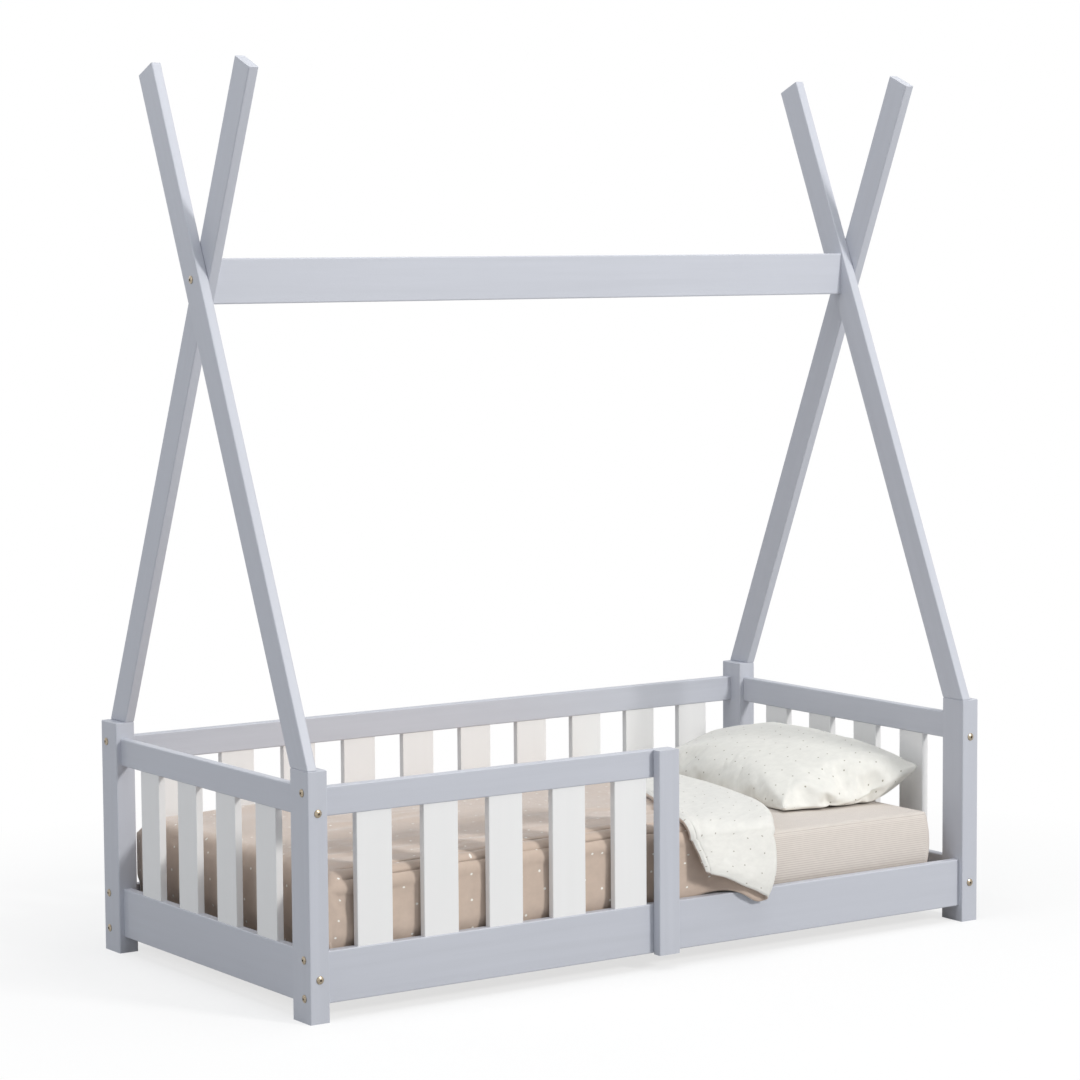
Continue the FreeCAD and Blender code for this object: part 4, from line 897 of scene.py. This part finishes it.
def duvet_object():
    """The duvet: its grid with all folds, made as thick as the cloth is at each point."""
    middle, thick, kept = (np.stack(part, axis=1) for part in zip(*map(column_rows, COLUMNS)))
    at = Places(middle)
    uv = cloth_coordinates(middle, thick)
    push = held_off_mattress(sum(fold(at) for fold in FOLDS), at)
    points = place(middle + normals_of(middle) * push[..., None]).reshape(-1, 3)
    thick = thinner_at_hems(thick, at)
    faces = grid_faces(N_ROWS, len(COLUMNS), kept)[:, ::-1]
    made = mesh_object("bedding_duvet", points, faces, uv.reshape(-1, 2),
                       (duvet_outside, duvet_inside))
    thickest = thick.max()
    group = made.vertex_groups.new(name="thickness")
    for index, size in enumerate(thick.ravel()):
        group.add([index], float(size / thickest), "REPLACE")
    work = bmesh.new()
    work.from_mesh(made.data)
    bmesh.ops.delete(work, geom=[v for v in work.verts if not v.link_faces], context="VERTS")
    bmesh.ops.remove_doubles(work, verts=work.verts, dist=0.0001)
    work.to_mesh(made.data)
    work.free()
    shell = made.modifiers.new("shell", "SOLIDIFY")
    shell.thickness = thickest / 1000
    shell.offset = 0.0
    shell.vertex_group = "thickness"
    shell.material_offset = 1
    apply_modifiers(made)
    return made


duvet = duvet_object()

# Pillow: two pieces of cloth sewn at the edge, blown up, then laid down

PILLOW_LONG, PILLOW_WIDE = 600.0, 345.0
PILLOW_NX, PILLOW_NY = 62, 104
# how far its sides bow out, as shares of its size, and how far apart its two faces start
WIDE_BOW_SHARE, LONG_BOW_SHARE = 0.085, 0.035
FACES_APART = 26
SEAM_SHARP = 0.9
BLOWN_FRAMES, BLOWN_PRESSURE = 26, 4.5
CLOTH_SETTINGS = {
    "quality": 7, "mass": 0.2, "air_damping": 3.0,
    "tension_stiffness": 30, "compression_stiffness": 30, "shear_stiffness": 10,
    "bending_stiffness": 1.2, "tension_damping": 10, "compression_damping": 10,
    "shear_damping": 10, "bending_damping": 1.0, "use_pressure": True,
}


def pillow_blank():
    """The pillow case before it is filled. Its sides bow out, and its two faces are apart."""
    u, v = np.meshgrid(np.linspace(-1, 1, PILLOW_NX), np.linspace(-1, 1, PILLOW_NY), indexing="ij")
    x = u * (1 + WIDE_BOW_SHARE * (1 - v * v)) * PILLOW_WIDE / 2
    y = v * (1 + LONG_BOW_SHARE * (1 - u * u)) * PILLOW_LONG / 2
    dome = FACES_APART * np.sqrt(np.clip((1 - u * u) * (1 - v * v), 0, 1))
    uneven = 1.5 * noise(x, y, 45, 41) * (1 - u**6) * (1 - v**6)
    upper = np.stack([x, y, dome + uneven], axis=2).reshape(-1, 3)
    lower = np.stack([x, y, -dome], axis=2).reshape(-1, 3)
    flat = np.stack([x / 1000 + 0.5, y / 1000 + 0.5], axis=2).reshape(-1, 2)
    faces = grid_faces(PILLOW_NX, PILLOW_NY)
    all_faces = np.vstack([faces, faces[:, ::-1] + len(upper)])
    return np.vstack([upper, lower]), all_faces, np.vstack([flat, flat + 0.37])


def sewn_pillow():
    """The blank as an object, sewn at its edge, where the seam stays sharp."""
    points, faces, uv = pillow_blank()
    made = mesh_object("bedding_pillow", points / 1000, faces, uv, (pillow_cloth,))
    work = bmesh.new()
    work.from_mesh(made.data)
    bmesh.ops.remove_doubles(work, verts=work.verts, dist=0.0002)
    work.faces.ensure_lookup_table()
    half = len(work.faces) // 2
    crease_of = work.edges.layers.float.new("crease_edge")
    for edge in work.edges:
        if len({face.index < half for face in edge.link_faces}) == 2:
            edge[crease_of] = SEAM_SHARP
    bmesh.ops.recalc_face_normals(work, faces=work.faces)
    work.to_mesh(made.data)
    work.free()
    return made


def blow_up(thing):
    """Runs the cloth under pressure with no gravity, and keeps the result."""
    scene.frame_start, scene.frame_end = 1, BLOWN_FRAMES
    made = thing.modifiers.new("cloth", "CLOTH")
    for key, value in CLOTH_SETTINGS.items():
        setattr(made.settings, key, value)
    made.settings.uniform_pressure_force = BLOWN_PRESSURE
    made.settings.effector_weights.gravity = 0
    made.point_cache.frame_start = 1
    made.point_cache.frame_end = BLOWN_FRAMES
    for number in range(1, BLOWN_FRAMES + 1):
        scene.frame_set(number)
    apply_modifiers(thing)
    scene.frame_set(1)


# where the four corners of its seam lie: it is propped up at the head end
FOOT_FRONT, HEAD_FRONT = np.array([401, -197, 222.0]), np.array([699, -251, 287.0])
FOOT_BACK, HEAD_BACK = np.array([430, 318, 204.0]), np.array([694, 296, 278.0])
HALF_THICK = 82
# the corners are drawn out into flat points, which begin at these shares of its size
EAR_WIDE_SHARES, EAR_LONG_SHARES = (0.84, 0.99), (0.9, 0.99)
EAR_LONGER_SHARE, EAR_FLATTER_SHARE = 0.035, 0.55
# gathers run out from each corner: their height, their reach and their number of turns
GATHER_HIGH, GATHER_REACH, GATHER_TURNS = 3.2, 42, 11
# (share of the way to the head end, height over the straight line) of the front seam,
FRONT_SEAM = ((0, 0), (0.2, -14), (0.45, -32), (0.65, -29), (0.85, -12), (1, 0))
# and the same, towards the back, of the foot seam
FOOT_SEAM = ((0, 0), (0.1, 8), (0.25, 17), (0.5, 28), (0.65, 33), (1, 33))
# a pinch in the front seam is eased out: its place and width as shares, and how far out and down
PINCH_SHARE, PINCH_WIDE_SHARE, PINCH_DEEP_SHARE = 0.356, 0.1, 0.07
PINCH_OUT, PINCH_DOWN = 30, 14
# it lies flat on the sheet, at this height above the mattress, with a soft edge
SEAT_GAP, SEAT_SOFT = 3.6, 8.0


def pointed_corners(shape):
    """The shape, from -1 to 1 each way, with its corners drawn out."""
    ear = smooth(np.abs(shape[:, :1]), *EAR_WIDE_SHARES)
    ear = ear * smooth(np.abs(shape[:, 1:2]), *EAR_LONG_SHARES)
    return np.hstack([shape[:, :2] * (1 + EAR_LONGER_SHARE * ear),
                      shape[:, 2:] * (1 - EAR_FLATTER_SHARE * ear)])


def corner_gathers(shape):
    """How high the gathers stand at each point. They fade out at the seam."""
    to_corner = (1.02 - np.abs(shape[:, :2])) * (PILLOW_WIDE / 2, PILLOW_LONG / 2)
    reach = norm(to_corner, axis=1)
    gather = np.sin(GATHER_TURNS * np.arctan2(to_corner[:, 1], to_corner[:, 0]))
    gather = GATHER_HIGH * gather * np.exp(-reach / GATHER_REACH) * smooth(reach, 3, 16)
    return gather * smooth(np.abs(shape[:, 2]), 0, 0.12)


def laid_down(shape):
    """Places on the bed for the blown-up shape."""
    shape = 2 * (shape - shape.min(0)) / (shape.max(0) - shape.min(0)) - 1
    shape = pointed_corners(shape)
    a, b = (shape[:, :1] + 1) / 2, (shape[:, 1:2] + 1) / 2
    laid = FOOT_FRONT * (1 - a) * (1 - b) + HEAD_FRONT * a * (1 - b)
    laid = laid + FOOT_BACK * (1 - a) * b + HEAD_BACK * a * b
    a, b = a[:, 0], b[:, 0]
    x, y, z = laid.T
    z = z + curve(a, FRONT_SEAM) * np.maximum(1 - b, 0) ** 2.2 + curve(b, FOOT_SEAM) * (1 - a) ** 6
    pinch = ridge(a - PINCH_SHARE, PINCH_WIDE_SHARE) * np.exp(-b / PINCH_DEEP_SHARE)
    y = y - PINCH_OUT * pinch
    z = z - PINCH_DOWN * pinch
    z = z + HALF_THICK * shape[:, 2] + corner_gathers(shape) * np.sign(shape[:, 2])
    seat = MATTRESS_TOP + SEAT_GAP
    over_seat = np.clip((z - seat) / SEAT_SOFT, -30, 30)
    return np.stack([x, y, seat + SEAT_SOFT * np.log1p(np.exp(over_seat))], axis=1)


pillow = sewn_pillow()
blow_up(pillow)
smoother = pillow.modifiers.new("smooth", "SUBSURF")
smoother.levels = smoother.render_levels = 1
apply_modifiers(pillow)
set_points(pillow, laid_down(points_of(pillow)))
pillow.data.transform(Matrix.Translation((0, SHIFT / 1000, 0)))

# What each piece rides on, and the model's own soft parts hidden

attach(mattress, "mattress")
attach(fitted, "mattress")
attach(duvet, "duvet")
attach(pillow, "pillow")
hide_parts("mattress_core")
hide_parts("fitted_sheet")
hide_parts("duvet")
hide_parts("pillow")

# Floor and backdrop

WHITE = (1, 1, 1, 1)
FLOOR_HALF = 9
FLOOR_PALE, FLOOR_PALER = (240, 240, 240), (250, 250, 250)
# what the floor reflects onto the bed
FLOOR_BOUNCE = (190, 190, 190)
# near the bed it takes the bed's shadow, and further off it glows: distances and shares
SHADOW_NEAR, SHADOW_FAR = 0.9, 1.7
GLOW_NEAR_SHARE, GLOW_FAR_SHARE = 0.7, 1.0
SKY_COLOUR, SKY_STRENGTH = (0.90, 0.945, 1.0, 1), 0.335


def rays_that_show(tree):
    """1 for rays that show the background, straight or in something that shines."""
    rays = add(tree, "LightPath").outputs
    total = rays["Is Camera Ray"]
    for kind in ("Is Glossy Ray", "Is Transmission Ray"):
        total = add(tree, "Math", {"operation": "MAXIMUM"}, (total, rays[kind]))
    return total


def floor_material():
    """White to the eye, but for the shadow close to the bed."""
    material, tree, shader = new_material("studio_floor")
    where = add(tree, "TexCoord").outputs["Object"]
    fine = add(tree, "TexNoise", Vector=where, Scale=2.0)
    tint = remap(tree, fine, 0.3, 0.7, 0.0, 0.02)
    pale = blend(tree, tint, linear(FLOOR_PALER), linear(FLOOR_PALE))
    seen = add(tree, "LightPath").outputs["Is Camera Ray"]
    colour = blend(tree, seen, linear(FLOOR_BOUNCE), pale)
    plug(shader, {"Base Color": colour, "Roughness": 0.9})
    distance = add(tree, "VectorMath", {"operation": "LENGTH"}, (where,)).outputs["Value"]
    near_and_far = (SHADOW_NEAR, SHADOW_FAR, GLOW_NEAR_SHARE, GLOW_FAR_SHARE)
    shares = (remap(tree, distance, *near_and_far), rays_that_show(tree))
    glows = add(tree, "Math", {"operation": "MULTIPLY"}, shares)
    glow = add(tree, "Emission", Color=WHITE, Strength=1.0)
    mixed = add(tree, "MixShader", None, (glows, shader, glow))
    plug(tree.nodes["Material Output"], {"Surface": mixed})
    return material


def white_world():
    """White where it is seen, and a dim sky that lights the bed."""
    world = bpy.data.worlds.new("studio")
    scene.world = world
    world.use_nodes = True
    tree = world.node_tree
    tree.nodes.clear()
    seen = add(tree, "Background", Color=WHITE, Strength=1.0)
    lit = add(tree, "Background", Color=SKY_COLOUR, Strength=SKY_STRENGTH)
    mixed = add(tree, "MixShader", None, (rays_that_show(tree), lit, seen))
    add(tree, "OutputWorld", Surface=mixed)


floor_corners = [(FLOOR_HALF * x, FLOOR_HALF * y, 0)
                 for x, y in ((-1, -1), (1, -1), (1, 1), (-1, 1))]
floor = mesh_object("studio_floor", floor_corners, [(0, 1, 2, 3)], None, (floor_material(),))
white_world()

# Lights


def softbox(name, where, target, size, power, colour):
    """A large square light that faces the target."""
    light = bpy.data.lights.new(name, "AREA")
    light.shape = "SQUARE"
    light.size = size
    light.energy = power
    light.color = colour
    made = bpy.data.objects.new(name, light)
    made.location = where
    way = Vector(target) - Vector(where)
    made.rotation_euler = way.to_track_quat("-Z", "Y").to_euler()
    scene.collection.objects.link(made)


COOL = (0.97, 0.98, 1.0)
softbox("key", (3.0, -7.4, 4.2), (0, 0, 0.5), 1.4, 406, (1.0, 0.985, 0.96))
softbox("top", (0.0, -0.8, 4.4), (0, 0, 0.3), 3.2, 74, (1.0, 0.99, 0.97))
softbox("left_fill", (-4.2, -0.4, 2.9), (0, 0, 0.4), 2.6, 38, COOL)
softbox("back_fill", (-1.6, 3.8, 2.6), (0, 0, 0.6), 2.5, 16, COOL)

# Camera, fitted to the posts, rails and poles in the photo

# the photo's size, and its camera's focal length and centre, in pixels
PHOTO = 1080
FOCAL, CENTRE_X, CENTRE_Y = 3314.83, 600.595, 560.216
CAMERA_PLACE = (-3464.45, -5141.80, 1305.02)
YAW, PITCH, ROLL = 0.6093628, 0.0954057, -0.0051321
SENSOR = 36


def photo_camera():
    """The photo's camera, which becomes the scene's."""
    ahead = Vector((math.sin(YAW) * math.cos(PITCH), math.cos(YAW) * math.cos(PITCH),
                    -math.sin(PITCH)))
    right = Vector((math.cos(YAW), -math.sin(YAW), 0))
    up = right.cross(ahead)
    right, up = (math.cos(ROLL) * right + math.sin(ROLL) * up,
                 -math.sin(ROLL) * right + math.cos(ROLL) * up)
    lens = bpy.data.cameras.new("photo_camera")
    lens.sensor_fit = "HORIZONTAL"
    lens.sensor_width = SENSOR
    lens.lens = FOCAL / PHOTO * SENSOR
    lens.shift_x = (PHOTO / 2 - CENTRE_X) / PHOTO
    lens.shift_y = (CENTRE_Y - PHOTO / 2) / PHOTO
    lens.clip_end = 100
    made = bpy.data.objects.new("photo_camera", lens)
    scene.collection.objects.link(made)
    turn = Matrix((right, up, -ahead)).transposed().to_4x4()
    made.matrix_world = Matrix.Translation(place(CAMERA_PLACE)) @ turn
    scene.camera = made


photo_camera()
scene.view_settings.view_transform = "Standard"
